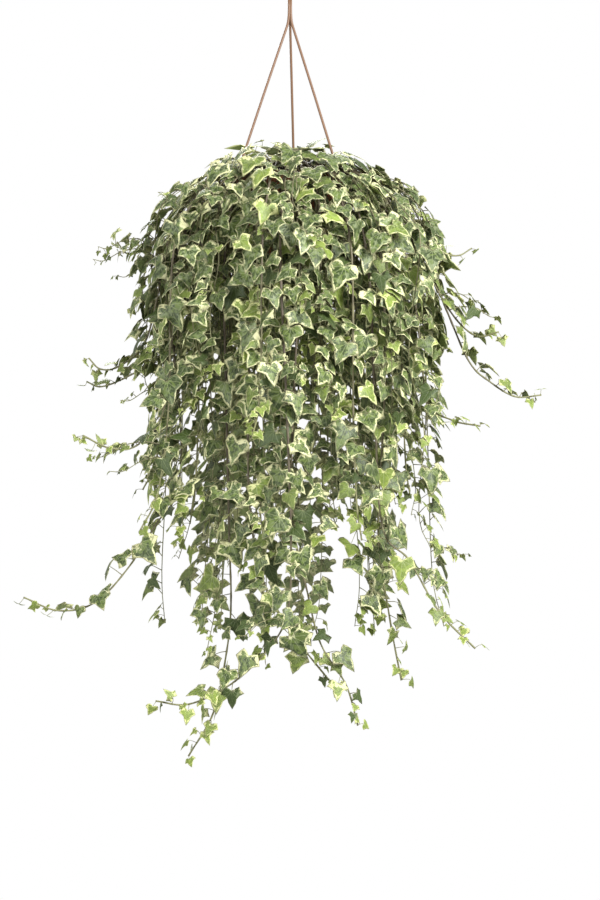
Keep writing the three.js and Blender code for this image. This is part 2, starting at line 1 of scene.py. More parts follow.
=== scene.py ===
import math
import random
from collections import defaultdict

import bmesh
import bpy
import numpy as np
from bpy.props import FloatProperty, FloatVectorProperty, IntProperty, PointerProperty
from mathutils import Matrix, Vector, noise
from mathutils.bvhtree import BVHTree
from mathutils.kdtree import KDTree


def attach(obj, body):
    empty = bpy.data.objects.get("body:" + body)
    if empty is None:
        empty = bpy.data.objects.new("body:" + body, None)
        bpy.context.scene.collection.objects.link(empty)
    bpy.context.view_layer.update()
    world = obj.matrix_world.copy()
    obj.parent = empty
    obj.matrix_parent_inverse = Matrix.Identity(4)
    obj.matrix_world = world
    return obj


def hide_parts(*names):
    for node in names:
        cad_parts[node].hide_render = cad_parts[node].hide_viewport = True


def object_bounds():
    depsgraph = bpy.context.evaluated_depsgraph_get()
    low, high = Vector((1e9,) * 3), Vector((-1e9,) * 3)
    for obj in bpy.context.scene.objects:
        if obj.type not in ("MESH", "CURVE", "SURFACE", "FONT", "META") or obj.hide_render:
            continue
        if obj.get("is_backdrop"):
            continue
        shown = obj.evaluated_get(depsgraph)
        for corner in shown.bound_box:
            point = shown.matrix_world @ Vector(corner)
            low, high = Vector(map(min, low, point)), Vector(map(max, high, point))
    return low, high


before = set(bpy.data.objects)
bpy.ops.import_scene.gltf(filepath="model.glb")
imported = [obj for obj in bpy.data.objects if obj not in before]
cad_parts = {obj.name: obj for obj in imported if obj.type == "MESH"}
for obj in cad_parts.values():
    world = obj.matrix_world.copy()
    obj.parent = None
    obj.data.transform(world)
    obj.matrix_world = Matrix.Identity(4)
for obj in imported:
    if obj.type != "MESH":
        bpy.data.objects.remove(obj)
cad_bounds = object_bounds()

bl_info = {
    "name": "Hanging variegated ivy",
    "version": (1, 0, 0),
    "blender": (4, 5, 0),
    "location": "View3D > Sidebar > Ivy",
    "description": "Dresses a potted ivy: variegated leaves, stems, soil, a plastic pot and its hanger",
    "category": "Add Mesh",
}

# Sizes are in millimetres, +Z up, from the top inside of the hook's bend. MM turns them into metres.
MM = 0.001
UP = np.array((0.0, 0.0, 1.0))

# The pot
RIM_Z = -290
RIM_R = 76
BASE_R = 53
POT_HEIGHT = 120
BAND_HEIGHT = 16
WALL = 2
FLOOR = 3
FOOT = 3
POT_SIDES = 72
SOIL_Z = RIM_Z - 14
ROOT_DEPTH = 15

# The hanger
CLIP_R = 80
CLIP_AZIMUTHS = (86, 206, 326)
LUG_THICK = 3
LUG_TOP = RIM_Z - 4
LUG_HOLE_R = 2.3
LUG_R = 5.5
STRAND_R = 1.4
STRAND_DRAWN_R = 1.75
BUNDLE_R = 1.45
BUNDLE_END = -80
COLLAR_TOP = -37
COLLAR_BOTTOM = -46
HOOK_R = 2.2
HOOK_BEND = 10

# The ivy, as the frame's stems grow
STEM_R = 1.7
STEM_TIP_R = 1
STEM_STRAY = 1.6
STEM_TRIES = 25
STEM_TURN = 1.4
OVER_RIM_R = 84
CURVE_STEPS = 8
LOOSE_STEPS = 5
LEAF_LONG = 38
LEAF_SPACING = 53
INNER_SPACING = 31
LEAF_START = 8
BARE_LENGTH = ROOT_DEPTH + RIM_Z - SOIL_Z + LEAF_START
TIP_LENGTH = 150
TIP_SCALE = 0.4
LEAF_TRIES = 14
ARCH_ACROSS = 0.32
ARCH_ALONG = 0.12
POT_KEEP_R = 84
POT_KEEP_Z = RIM_Z + 2
FOUND = 0.05


def srgb(r, g, b):
    """The linear colour of a red, green and blue from 0 to 255."""
    shares = (r / 255, g / 255, b / 255)
    return tuple(v / 12.92 if v <= 0.04045 else ((v + 0.055) / 1.055) ** 2.4 for v in shares)


# Numbers and vectors


def draw(*keys):
    """A draw from 0 to 1 that depends only on its whole-number keys."""
    h = 2166136261
    for key in keys:
        h = ((h ^ key) * 16777619) & 0xFFFFFFFF
        h ^= h >> 13
        h = (h * 1540483477) & 0xFFFFFFFF
        h ^= h >> 15
    return h / 4294967296


def mix(low, high, share):
    return low + (high - low) * share


def between(low, high, *keys):
    return mix(low, high, draw(*keys))


def smoothstep(x, low, high):
    share = min(max((x - low) / (high - low), 0.0), 1.0)
    return share * share * (3 - 2 * share)


def vec(x, y, z):
    return np.array((x, y, z), float)


def unit(v):
    return v / math.sqrt(v @ v)


def cross(a, b):
    return vec(a[1] * b[2] - a[2] * b[1], a[2] * b[0] - a[0] * b[2], a[0] * b[1] - a[1] * b[0])


def square_to(along):
    """A direction at right angles to another."""
    return cross(along, UP if abs(along[2]) < 0.9 else vec(1, 0, 0))


def polar(radius, z, bearing, side=0.0):
    """A point at a radius and height, on a bearing in degrees from +X, moved sideways by a distance."""
    a = math.radians(bearing)
    return vec(radius * math.cos(a) - side * math.sin(a), radius * math.sin(a) + side * math.cos(a), z)


def bent(start, corner, end, t):
    """The point at a share of a bend that leaves one point towards a corner and ends at another."""
    return start * (1 - t) ** 2 + 2 * corner * t * (1 - t) + end * t**2


def index_nearest(points, point):
    return int(np.argmin([math.dist(p, point) for p in points]))


def smooth_curve(route, steps):
    """Points along a smooth curve through a route's own points, with steps from each to the next."""
    points = [2 * route[0] - route[1], *route, 2 * route[-1] - route[-2]]
    found = []
    for p0, p1, p2, p3 in zip(points, points[1:], points[2:], points[3:]):
        start, end = (p2 - p0) / 2, (p3 - p1) / 2
        for i in range(steps):
            t = i / steps
            square, cube = 3 * (p2 - p1) - 2 * start - end, 2 * (p1 - p2) + start + end
            found.append(p1 + start * t + square * t**2 + cube * t**3)
    return [*found, route[-1]]


# The routes of the stems

# Long stems: a name, the bearing and radius of the root, the crest over the rim, and the points that follow.
TRAILS = (
    ("left_low", 189, 56, 12, (
        (-124, -30, -318), (-158, -44, -400), (-160, -54, -530), (-150, -62, -660), (-157, -68, -735),
        (-184, -80, -775), (-220, -98, -832), (-264, -118, -878), (-312, -138, -887), (-357, -154, -867))),
    ("left_arc_low", 173, 54, 12, (
        (-128, 14, -325), (-160, 20, -400), (-168, 26, -470), (-199, 36, -549), (-232, 48, -574),
        (-271, 60, -589), (-293, 66, -582))),
    ("left_arc_high", 182, 38, 16, (
        (-128, -12, -312), (-168, -22, -380), (-186, -28, -470), (-204, -34, -530), (-238, -46, -559),
        (-262, -56, -562), (-277, -62, -547))),
    ("left_arc_mid", 195, 40, 12, (
        (-118, -44, -316), (-148, -82, -400), (-160, -96, -520), (-172, -108, -620), (-206, -132, -664),
        (-240, -160, -666), (-273, -186, -648))),
    ("left_top", 166, 34, 16, (
        (-124, 34, -306), (-170, 56, -352), (-205, 76, -388), (-234, 96, -398), (-252, 108, -380))),
    ("right_top", 11, 36, 16, (
        (126, 28, -306), (166, 42, -356), (194, 56, -390), (238, 78, -401), (262, 90, -390))),
    ("right_arc_high", 351, 54, 12, (
        (132, -24, -324), (178, -36, -400), (205, -46, -455), (232, -60, -497), (258, -74, -517),
        (285, -88, -511))),
    ("right_arc_mid", 0, 40, 14, (
        (134, 2, -316), (186, 8, -400), (220, 14, -478), (254, 24, -553), (285, 34, -582), (322, 46, -603),
        (360, 56, -601))),
    ("right_arc_low", 341, 38, 12, (
        (116, -46, -318), (160, -74, -410), (176, -88, -510), (188, -100, -606), (219, -124, -630),
        (255, -150, -637))),
    ("right_low", 311, 40, 12, (
        (84, -100, -324), (106, -136, -430), (114, -146, -600), (124, -150, -770), (160, -164, -816),
        (200, -178, -884), (246, -196, -930))),
    ("right_long", 319, 56, 10, (
        (96, -86, -322), (124, -114, -420), (128, -120, -600), (120, -120, -780), (136, -120, -900),
        (152, -118, -985))),
    ("sweep_left", 266, 40, 12, (
        (-8, -128, -318), (-12, -182, -410), (-4, -196, -600), (2, -194, -780), (-2, -190, -880),
        (-28, -188, -932), (-79, -186, -980), (-134, -186, -1006), (-178, -190, -1001))),
    ("drop_left", 229, 54, 12, (
        (-74, -84, -318), (-88, -108, -420), (-86, -116, -600), (-82, -116, -790), (-80, -114, -880),
        (-86, -112, -946), (-104, -108, -1030), (-139, -104, -1092))),
    ("drop_middle", 281, 56, 10, (
        (20, -126, -322), (14, -160, -430), (4, -166, -640), (4, -164, -760), (24, -160, -860),
        (42, -156, -930), (76, -150, -986), (92, -146, -1042))),
    ("drop_inner", 254, 56, 10, (
        (-40, -118, -322), (-52, -142, -430), (-56, -148, -640), (-52, -146, -760), (-34, -142, -850),
        (8, -134, -924), (60, -124, -992))),
)

# The mound in layers: how many stems, their first bearing and the step to the next, and ranges for each size.
LAYERS = (
    dict(name="outer", count=18, first=16, step=20, roots=(48, 60), crest=(8, 14), reach=(176, 204),
         fall=(135, 165), drop=(330, 520), sway=14, curl=60, spacing=LEAF_SPACING),
    dict(name="middle", count=18, first=5, step=20, roots=(26, 34), crest=(11, 16), reach=(140, 164),
         fall=(100, 125), drop=(200, 360), sway=10, curl=24, spacing=LEAF_SPACING),
    dict(name="inner", count=8, first=14, step=45, roots=(44, 52), crest=(7, 10), reach=(108, 118),
         fall=(60, 80), drop=(130, 210), sway=4, curl=8, spacing=INNER_SPACING),
)

# Short stems that stand up in the middle of the pot: the root's bearing and radius, the height and the lean.
TUFTS = ((140, 10, 40, 42), (250, 14, 26, 34), (20, 14, 30, 40), (75, 22, 34, 34), (205, 24, 30, 30))


def mound_route(bearing, root, crest, reach, fall, drop, sway=0.0, curl=0.0):
    """A stem of the mound: it leaves the soil upright, leans over the rim and hangs from a given reach."""
    low, end = RIM_Z - fall, RIM_Z - drop
    places = (
        (root, SOIL_Z - ROOT_DEPTH, 0),
        (root, SOIL_Z + 8, 0),
        (mix(root, OVER_RIM_R, 0.5), RIM_Z + crest, 0),
        (mix(OVER_RIM_R, reach, 0.42), RIM_Z + crest * 0.3 - 0.12 * fall, sway * 0.15),
        (mix(OVER_RIM_R, reach, 0.85), RIM_Z - 0.5 * fall, sway * 0.4),
        (reach, low, sway * 0.7),
        (reach + curl * 0.1, mix(low, end, 0.5), sway),
        (reach + curl * 0.45, mix(low, end, 0.85), sway),
        (reach + curl, end, sway * 0.9),
    )
    return [polar(r, z, bearing, side) for r, z, side in places]


def trail_route(bearing, root, crest, tail):
    """A long stem: it leans over the rim on a bearing, then follows its own points."""
    start = ((root, SOIL_Z - ROOT_DEPTH), (root, SOIL_Z + 8), (mix(root, OVER_RIM_R, 0.5), RIM_Z + crest))
    return [polar(r, z, bearing) for r, z in start] + [vec(*p) for p in tail]


def tuft_route(bearing, root, height, lean):
    places = (
        (root, SOIL_Z - ROOT_DEPTH),
        (root, SOIL_Z + 10),
        (root + lean * 0.15, RIM_Z + height * 0.45),
        (root + lean * 0.5, RIM_Z + height * 0.85),
        (root + lean, RIM_Z + height),
    )
    return [polar(r, z, bearing) for r, z in places]


class Stem:
    """One stem: its smooth curve, the coarser line that the frame's stem follows, and what grows on it."""

    def __init__(self, name, route, spacing, index, bare=BARE_LENGTH, tip_length=TIP_LENGTH, in_frame=True):
        self.name, self.index = name, index
        self.spacing, self.bare, self.tip_length = spacing, bare, tip_length
        self.fine = smooth_curve(route, CURVE_STEPS if in_frame else LOOSE_STEPS)
        self.line = coarse_line(self.fine, route) if in_frame else [*self.fine[:-2:2], self.fine[-1]]
        steps = [math.dist(a, b) for a, b in zip(self.line, self.line[1:])]
        self.lengths = np.concatenate(([0.0], np.cumsum(steps)))
        self.length = float(self.lengths[-1])
        self.leaves = []
        self.radius, self.tip_radius, self.greenness = STEM_R, STEM_TIP_R, 0

    def at(self, s):
        """The point at a length along the line, and the line's direction there."""
        i = 1
        while i < len(self.line) - 1 and self.lengths[i] < s:
            i += 1
        share = (s - self.lengths[i - 1]) / (self.lengths[i] - self.lengths[i - 1])
        return mix(self.line[i - 1], self.line[i], share), unit(self.line[i] - self.line[i - 1])

    def near(self, point):
        """The point of the smooth curve that is nearest to another."""
        starts, steps = np.array(self.fine[:-1]), np.diff(self.fine, axis=0)
        shares = ((point - starts) * steps).sum(axis=1) / (steps * steps).sum(axis=1)
        found = starts + steps * shares.clip(0, 1)[:, None]
        return found[((found - point) ** 2).sum(axis=1).argmin()]

    def tip_share(self, distance):
        """How far towards full size the leaves are at a distance from the tip."""
        return smoothstep(distance, 0, min(self.tip_length, self.length * 0.45))

    def trim(self):
        """Takes off what is bare past the last leaf."""
        if self.leaves:
            last = max(index_nearest(self.fine, leaf.root) for leaf in self.leaves)
            self.fine = self.fine[: last + 2]

    def stations(self):
        """The lengths at which leaves grow, from the tip back."""
        found, d = [], 1.0
        while d < self.length - self.bare:
            found.append(self.length - d)
            d += self.spacing * mix(TIP_SCALE, 1, self.tip_share(d))
        return found


def nearest_on(a, b, point):
    share = min(max(float((point - a) @ (b - a)) / float((b - a) @ (b - a)), 0.0), 1.0)
    return a + (b - a) * share


def coarse_line(fine, route):
    """The fine points without the ones that a straight step between others passes close by."""
    line, last = [fine[0], route[1]], CURVE_STEPS
    for i in range(last + 2, len(fine)):
        passed = fine[last + 1 : i]
        if max(math.dist(p, nearest_on(fine[last], fine[i], p)) for p in passed) < STEM_STRAY:
            continue
        last = i - 1
        line.append(fine[last])
    return [*line, fine[-1]]


class Corners:
    """The corners of a CAD node, in millimetres, to tell which of several tries the frame holds."""

    def __init__(self, node):
        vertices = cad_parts[node].data.vertices
        self.tree = KDTree(len(vertices))
        for i, v in enumerate(vertices):
            self.tree.insert(v.co / MM, i)
        self.tree.balance()

    def has(self, point):
        return self.tree.find(Vector(point))[2] < FOUND


def root_corner(root):
    """The first corner of the tube that the frame has for a stem, from the stem's first point."""
    return root + cross(cross(unit(vec(root[0], root[1], 0)), UP), UP) * STEM_R


def frame_stems():
    """Every stem that the frame holds, on the route that it has there."""
    found = []

    def add(name, routes, spacing=LEAF_SPACING):
        node = "stem_" + name
        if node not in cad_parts:
            return
        corners = Corners(node)
        for route in routes:
            if corners.has(root_corner(route[0])):
                stem = Stem(name, route, spacing, len(found))
                stem.corners = corners
                found.append(stem)
                return
        raise RuntimeError(f"no route fits the frame's {node}")

    for name, bearing, root, crest, tail in TRAILS:
        add(name, [trail_route(bearing, root, crest, tail)])
    for n, layer in enumerate(LAYERS):
        for i in range(layer["count"]):
            add(f"{layer['name']}_{i + 1:02d}", layer_routes(layer, n, i), layer["spacing"])
    for i, tuft in enumerate(TUFTS):
        add(f"tuft_{i + 1}", [tuft_route(*tuft)])
    return found


def layer_routes(layer, n, i):
    """The routes that a stem of a layer may have, each turned a little further than the one before."""

    def pick(sizes, key):
        return between(*sizes, n, i, key)

    for attempt in range(STEM_TRIES):
        turn = (1 if attempt % 2 else -1) * math.ceil(attempt / 2) * STEM_TURN
        yield mound_route(
            bearing=layer["first"] + layer["step"] * i + turn,
            root=pick(layer["roots"], 1),
            crest=pick(layer["crest"], 2),
            reach=pick(layer["reach"], 3),
            fall=pick(layer["fall"], 4),
            drop=pick(layer["drop"], 5),
            sway=pick((-layer["sway"], layer["sway"]), 6),
            curl=pick((0, layer["curl"]), 7),
        )


# Leaves


class Leaf:
    """Where one leaf is: its petiole's root and end, its blade's own axes and its length."""

    def __init__(self, root, joint, blade, facing, long, age, *keys):
        self.root, self.joint, self.long, self.age = root, joint, long, age
        self.across, self.along, self.normal = cross(blade, facing), blade, facing
        self.tint, self.seed = draw(*keys, 10), draw(*keys, 11)

    def place(self, u, v):
        """A point of the blade, from its place across and along the midrib for a length of 1."""
        drop = ARCH_ACROSS * u * u + ARCH_ALONG * v * v
        return self.joint + self.long * (self.across * u + self.along * v - self.normal * drop)

    def outline(self):
        """The blade's outline, from the notch round to the notch again."""
        u, v = OUTLINE_ROUND[:, :1], OUTLINE_ROUND[:, 1:]
        flat = self.across * u + self.along * v
        return self.joint + self.long * (flat - self.normal * (ARCH_ACROSS * u * u + ARCH_ALONG * v * v))


def away_from_middle(point):
    radial = vec(point[0], point[1], 0)
    return unit(radial) if radial @ radial > 1 else vec(1, 0, 0)


# From here up to the rim, leaves turn more and more to face up
OPEN_Z = RIM_Z - 110


def leaf_at(stem, k, s, side, attempt):
    """The leaf that grows at a length along a stem, on one side, as the frame's rule has it."""
    at, along = stem.at(s)
    keys = (stem.index, k, attempt)
    away = away_from_middle(at)
    open_ = smoothstep(at[2], OPEN_Z, RIM_Z)
    outward = away * mix(1, 0.25, open_) + UP * mix(0.25, 1, open_)
    outward = unit(outward - along * (outward @ along))
    sideways = cross(along, outward) * side
    facing = outward + sideways * between(0, mix(0.8, 0.3, open_), *keys, 1)
    facing = unit(facing + along * (between(-0.4, 0.4, *keys, 2) + 0.25 * open_))
    stalk = sideways * mix(between(0.5, 1, *keys, 3), between(-0.2, 0.7, *keys, 3), open_)
    stalk = stalk + outward * mix(between(0.25, 0.9, *keys, 4), 1, open_) + along * between(0, 0.5, *keys, 5)
    stalk = unit(stalk)
    shrink = 1 - 0.02 * attempt
    young = mix(TIP_SCALE, 1, stem.tip_share(stem.length - s))
    long = LEAF_LONG * young * between(0.8, 1.08, *keys, 6) * shrink
    joint = at + stalk * (6 + long * between(0.2, 0.5, *keys, 7)) * shrink
    droop = stalk - UP * between(0.3, 1.1, *keys, 8) + sideways * between(-0.3, 0.3, *keys, 9)
    droop = droop + along * 0.5 * open_
    blade = unit(droop - facing * (droop @ facing))
    return Leaf(at, joint, blade, facing, long, stem.tip_share(stem.length - s), *keys)


LOOSE_KEY = 1000
LOOSE_TRIES = 12


def loose_leaf(stem, k, s, side, attempt, size):
    """A leaf that turns more freely than the frame's: it faces out and up within a wide cone."""
    at, along = stem.at(s)
    keys = (stem.index, LOOSE_KEY + k, attempt)
    away = away_from_middle(at)
    sideways = cross(UP, away) * side
    open_ = smoothstep(at[2], OPEN_Z, RIM_Z)
    lift = mix(0.7, 1.2, open_) + between(-0.5, 0.5, *keys, 1)
    facing = unit(away * mix(1, 0.6, open_) + sideways * between(-1.1, 1.2, *keys, 2) + UP * lift)
    swing = between(-1.1, 1.3, *keys, 3)
    droop = sideways * math.sin(swing) - UP * math.cos(swing) + away * 0.4 * open_
    blade = unit(droop - facing * (droop @ facing))
    young = stem.tip_share(stem.length - s)
    long = LEAF_LONG * mix(TIP_SCALE, 1, young) * between(0.6, 1.04, *keys, 4) * size
    bearing = between(-1.2, 1.4, *keys, 5)
    stalk = away * math.cos(bearing) + sideways * math.sin(bearing)
    over_pot = 1 - smoothstep(math.hypot(at[0], at[1]), RIM_R - 25, RIM_R + 5)
    rise = mix(0.2 * open_, 1.2, over_pot)
    stalk = unit(stalk - along * (stalk @ along) + along * between(-0.7, 0.8, *keys, 6) + UP * rise)
    joint = at + stalk * (3 + long * between(0.2, 0.8, *keys, 7))
    return Leaf(at, joint, blade, facing, long, young, *keys)


# The top that the filling leaves keep under: its rise over the rim, and its fall at a distance outside it
TOP_RISE = 18
TOP_CROWN = 0.2
TOP_FALL = 75
TOP_UNEVEN = 24
FALL_OFF_R = 120
# The furthest that a filling leaf's tip reaches to the front and to the back
DEPTH_LIMITS = (-262, 246)

OLD_AGE = 1.5
OLD_SHARE = 0.09
FRESH_SHARE = 0.15


def aged(leaf, *keys):
    """Sets a leaf apart from its neighbours: some are dark and plain with age, some are fresh."""
    chance = draw(*keys, 12)
    if chance < OLD_SHARE:
        leaf.age = OLD_AGE
    elif chance > 1 - FRESH_SHARE:
        leaf.age *= between(0.15, 0.55, *keys, 13)
    return leaf


# One half of a blade's outline after the notch at the petiole: across and along the midrib, for a length of 1
HALF_OUTLINE = (
    (0.17, -0.13), (0.37, -0.165), (0.51, -0.04), (0.58, 0.2), (0.44, 0.34),
    (0.29, 0.45), (0.21, 0.66), (0, 1),
)
OUTLINE_ROUND = np.array((*HALF_OUTLINE, *((-u, v) for u, v in reversed(HALF_OUTLINE[:-1]))))
# Two more outlines of about the same size: pointed shoulders, and sharper lobes all round
SHOULDER_OUTLINE = (
    (0.16, -0.12), (0.36, -0.19), (0.48, -0.03), (0.62, 0.2), (0.42, 0.32),
    (0.28, 0.44), (0.21, 0.66), (0, 1),
)
SHARP_OUTLINE = (
    (0.15, -0.1), (0.39, -0.2), (0.46, 0.0), (0.64, 0.2), (0.4, 0.29),
    (0.25, 0.42), (0.2, 0.64), (0, 1),
)
MIDRIB = (0.24, 0.46, 0.72)
BLADE_MARGIN = 0.07
BLADE_THICK = 0.014


class Crowd:
    """What is placed already, by cells of space, so that a new leaf can be put clear of it."""

    CELL = 50

    def __init__(self):
        self.cells = defaultdict(list)

    def around(self, centre, reach):
        low = [int((c - reach) // self.CELL) for c in centre]
        high = [int((c + reach) // self.CELL) for c in centre]
        for x in range(low[0], high[0] + 1):
            for y in range(low[1], high[1] + 1):
                for z in range(low[2], high[2] + 1):
                    yield x, y, z

    def add(self, shape):
        for cell in self.around(shape["centre"], shape["reach"]):
            self.cells[cell].append(shape)

    def add_all(self, shapes):
        for shape in shapes:
            self.add(shape)

    def is_free(self, shape):
        seen = set()
        for cell in self.around(shape["centre"], shape["reach"]):
            for other in self.cells[cell]:
                if id(other) in seen:
                    continue
                seen.add(id(other))
                if math.dist(shape["centre"], other["centre"]) > shape["reach"] + other["reach"]:
                    continue
                if shape["blade"].overlap(other["whole"]):
                    return False
                if other["leafy"] and shape["whole"].overlap(other["blade"]):
                    return False
        return True


def shape_of(points, faces, blade_faces, leafy):
    centre = points.mean(axis=0)
    reach = math.sqrt(((points - centre) ** 2).sum(axis=1).max())
    rows = points.tolist()
    whole = BVHTree.FromPolygons(rows, faces)
    blade = BVHTree.FromPolygons(rows, blade_faces) if leafy else whole
    return {"centre": centre, "reach": reach, "whole": whole, "blade": blade, "leafy": leafy}


def leaf_shape(leaf):
    """A leaf's blade as a fan of triangles and its petiole as a sliver, to try it against others."""
    outline = leaf.outline()
    count = len(outline)
    points = np.array((*outline, leaf.joint, leaf.root, leaf.joint + leaf.across))
    blade = [(count, i, i + 1) for i in range(count - 1)]
    return shape_of(points, [*blade, (count, count + 1, count + 2)], blade, True)


def rod_shape(a, b, radius):
    """A stretch of stem as a three-sided rod."""
    along = unit(b - a)
    side = unit(square_to(along))
    lift = cross(side, along)
    ring = [side * math.cos(t) + lift * math.sin(t) for t in (0.0, 2.094, 4.189)]
    points = np.array([p + d * radius for p in (a, b) for d in ring])
    faces = [(i, (i + 1) % 3, (i + 1) % 3 + 3, i + 3) for i in range(3)]
    return shape_of(points, faces, faces, False)


def rods_along(line, radius):
    return [rod_shape(a, b, radius) for a, b in zip(line, line[1:])]


def under_the_top(leaf):
    """True where a leaf stays under the mound's top, which is nearly flat over the pot and falls outside."""
    x, y, z = leaf.place(0, 0.5)
    outside = math.hypot(x, y) - RIM_R
    rise = TOP_RISE - TOP_CROWN * min(outside, 0)
    beyond = max(outside, 0) / FALL_OFF_R
    uneven = noise.noise(Vector((x, y, 0)) * 0.02) * TOP_UNEVEN
    return z < RIM_Z + rise - TOP_FALL * beyond**1.6 + uneven


def near_the_frame(leaf):
    """True where a leaf ends inside the frame's own depth."""
    return DEPTH_LIMITS[0] < leaf.place(0, 1)[1] < DEPTH_LIMITS[1]


def off_the_pot(leaf):
    """True where a leaf stays off the pot, the rim's lugs and the soil."""
    around = np.array((*leaf.outline(), leaf.joint))
    points = np.concatenate((around, (around + np.roll(around, -1, axis=0)) / 2))
    r, z = np.hypot(points[:, 0], points[:, 1]), points[:, 2]
    over_soil = (r < RIM_R - 8) & (z > SOIL_Z + 8)
    at_pot = (r < POT_KEEP_R) & (z > RIM_Z - POT_HEIGHT - 3) & (z < POT_KEEP_Z)
    return not (at_pot & ~over_soil).any()


def grow_frame_leaves(stems, crowd):
    """The leaves that the frame holds: each try is the frame's where its tip is a corner of the node."""
    for stem in stems:
        for k, s in enumerate(stem.stations()):
            for attempt in range(LEAF_TRIES):
                leaf = leaf_at(stem, k, s, 1 if k % 2 else -1, attempt)
                if stem.corners.has(leaf.place(0, 1)):
                    leaf.root = stem.near(leaf.root)
                    stem.leaves.append(aged(leaf, stem.index, k))
                    crowd.add(leaf_shape(leaf))
                    break


def grow_leaf(stem, k, s, side, crowd, size, under_top=True):
    """One more leaf at a length along a stem, if it finds a place clear of the others."""
    for attempt in range(LOOSE_TRIES):
        leaf = loose_leaf(stem, k, s, side, attempt, size * (1 - 0.025 * attempt))
        if not (off_the_pot(leaf) and near_the_frame(leaf)) or (under_top and not under_the_top(leaf)):
            continue
        shape = leaf_shape(leaf)
        if crowd.is_free(shape):
            leaf.root = stem.near(leaf.root)
            stem.leaves.append(aged(leaf, stem.index, LOOSE_KEY + k))
            crowd.add(shape)
            return


def grow_between(stems, crowd, size):
    """A leaf between each two of the frame's, on the other side of the stem."""
    for stem in stems:
        stations = stem.stations()
        for k, (s, before) in enumerate(zip(stations, stations[1:])):
            grow_leaf(stem, k, (s + before) / 2, -1 if k % 2 else 1, crowd, size)


def grow_all(stems, crowd, size, under_top=True):
    for stem in stems:
        own = size * between(0.85, 1.1, stem.index, 14)
        for k, s in enumerate(stem.stations()):
            grow_leaf(stem, k, s, 1 if k % 2 else -1, crowd, own, under_top)
        stem.trim()


# The stems that close the mound: for each kind, the range of each size and of the leaves' spacing.
FILLING = dict(
    apron=dict(roots=(46, 60), crest=(1, 5), reach=(93, 114), fall=(40, 80), drop=(130, 240), spacing=17),
    crown=dict(roots=(6, 58), crest=(2, 12), reach=(86, 150), fall=(20, 66), drop=(50, 180), spacing=16),
    skirt=dict(roots=(24, 62), crest=(1, 8), reach=(108, 192), fall=(70, 165), drop=(150, 390), spacing=19),
    curtain=dict(roots=(30, 62), crest=(1, 8), reach=(92, 176), fall=(90, 180), drop=(400, 690), spacing=20),
    middle=dict(roots=(8, 44), crest=(9, 18), reach=(84, 98), fall=(6, 20), drop=(24, 50), spacing=13),
)
FILL_INDEX = 500
FILL_TIP_LENGTH = 70
FILL_TRIES = 6
FILL_STEM_R = 0.9
FILL_TIP_R = 0.45
FILL_GREENNESS = 0.35
GOLDEN = 137.508
FLANK_REACH = 0.14
LEAN = 0.05
LOOSE_SWAY = (-22, 22)
LOOSE_CURL = (-6, 26)
WANDER = 10


def loose_route(size, index, attempt):
    """The route of a stem that closes the mound. Past the rim it wanders."""

    def pick(name, key):
        return between(*size[name], index, key)

    bearing = GOLDEN * index + 3 * attempt
    across = math.cos(math.radians(bearing))
    route = mound_route(
        bearing=bearing,
        root=pick("roots", 1),
        crest=pick("crest", 2),
        reach=pick("reach", 3) * (1 + FLANK_REACH * across**2 + LEAN * across),
        fall=pick("fall", 4),
        drop=pick("drop", 5),
        sway=between(*LOOSE_SWAY, index, 6),
        curl=between(*LOOSE_CURL, index, 7),
    )
    for n, place in enumerate(route[4:]):
        place += vec(*(between(-WANDER, WANDER, index, attempt, 20 + 3 * n + i) for i in range(3)))
    return route


def filling_stems(kind, count, first, crowd):
    """Stems of one kind all round the pot, each on the first of several routes that meets no leaf."""
    size = FILLING[kind]
    found = []
    for i in range(count):
        for attempt in range(FILL_TRIES):
            route = loose_route(size, first + i, attempt)
            name = f"{kind}_{i + 1:02d}"
            stem = Stem(name, route, size["spacing"], first + i, tip_length=FILL_TIP_LENGTH, in_frame=False)
            rods = rods_along(stem.line, FILL_STEM_R)
            if all(crowd.is_free(rod) for rod in rods) or attempt == FILL_TRIES - 1:
                break
        stem.radius, stem.tip_radius, stem.greenness = FILL_STEM_R, FILL_TIP_R, FILL_GREENNESS
        crowd.add_all(rods)
        found.append(stem)
    return found


SHOOT_R = 0.8
SHOOT_TIP_R = 0.4
SHOOT_GREENNESS = 0.6
SHOOT_TIP_LENGTH = 40
SHOOT_TOP = RIM_Z - 50
SHOOT_TRIES = 12
SHOOT_LONG = (55, 105)
SHOOT_TURN = (-0.9, 0.9)
SHOOT_SPACING = 17
SHOOT_BARE = 12


def shoot_route(start, long, turn, rise):
    """A side shoot: it leaves its stem outwards, sinks a little and curls up at the tip."""
    away = away_from_middle(start)
    out = unit(away + cross(UP, away) * turn)
    shares = ((0, 0), (0.25, 0.06 + rise), (0.55, 0.02 + rise), (0.82, -0.12 + rise), (1, -0.12 + rise * 1.3))
    return [start + (out * forward + UP * up) * long for forward, up in shares]


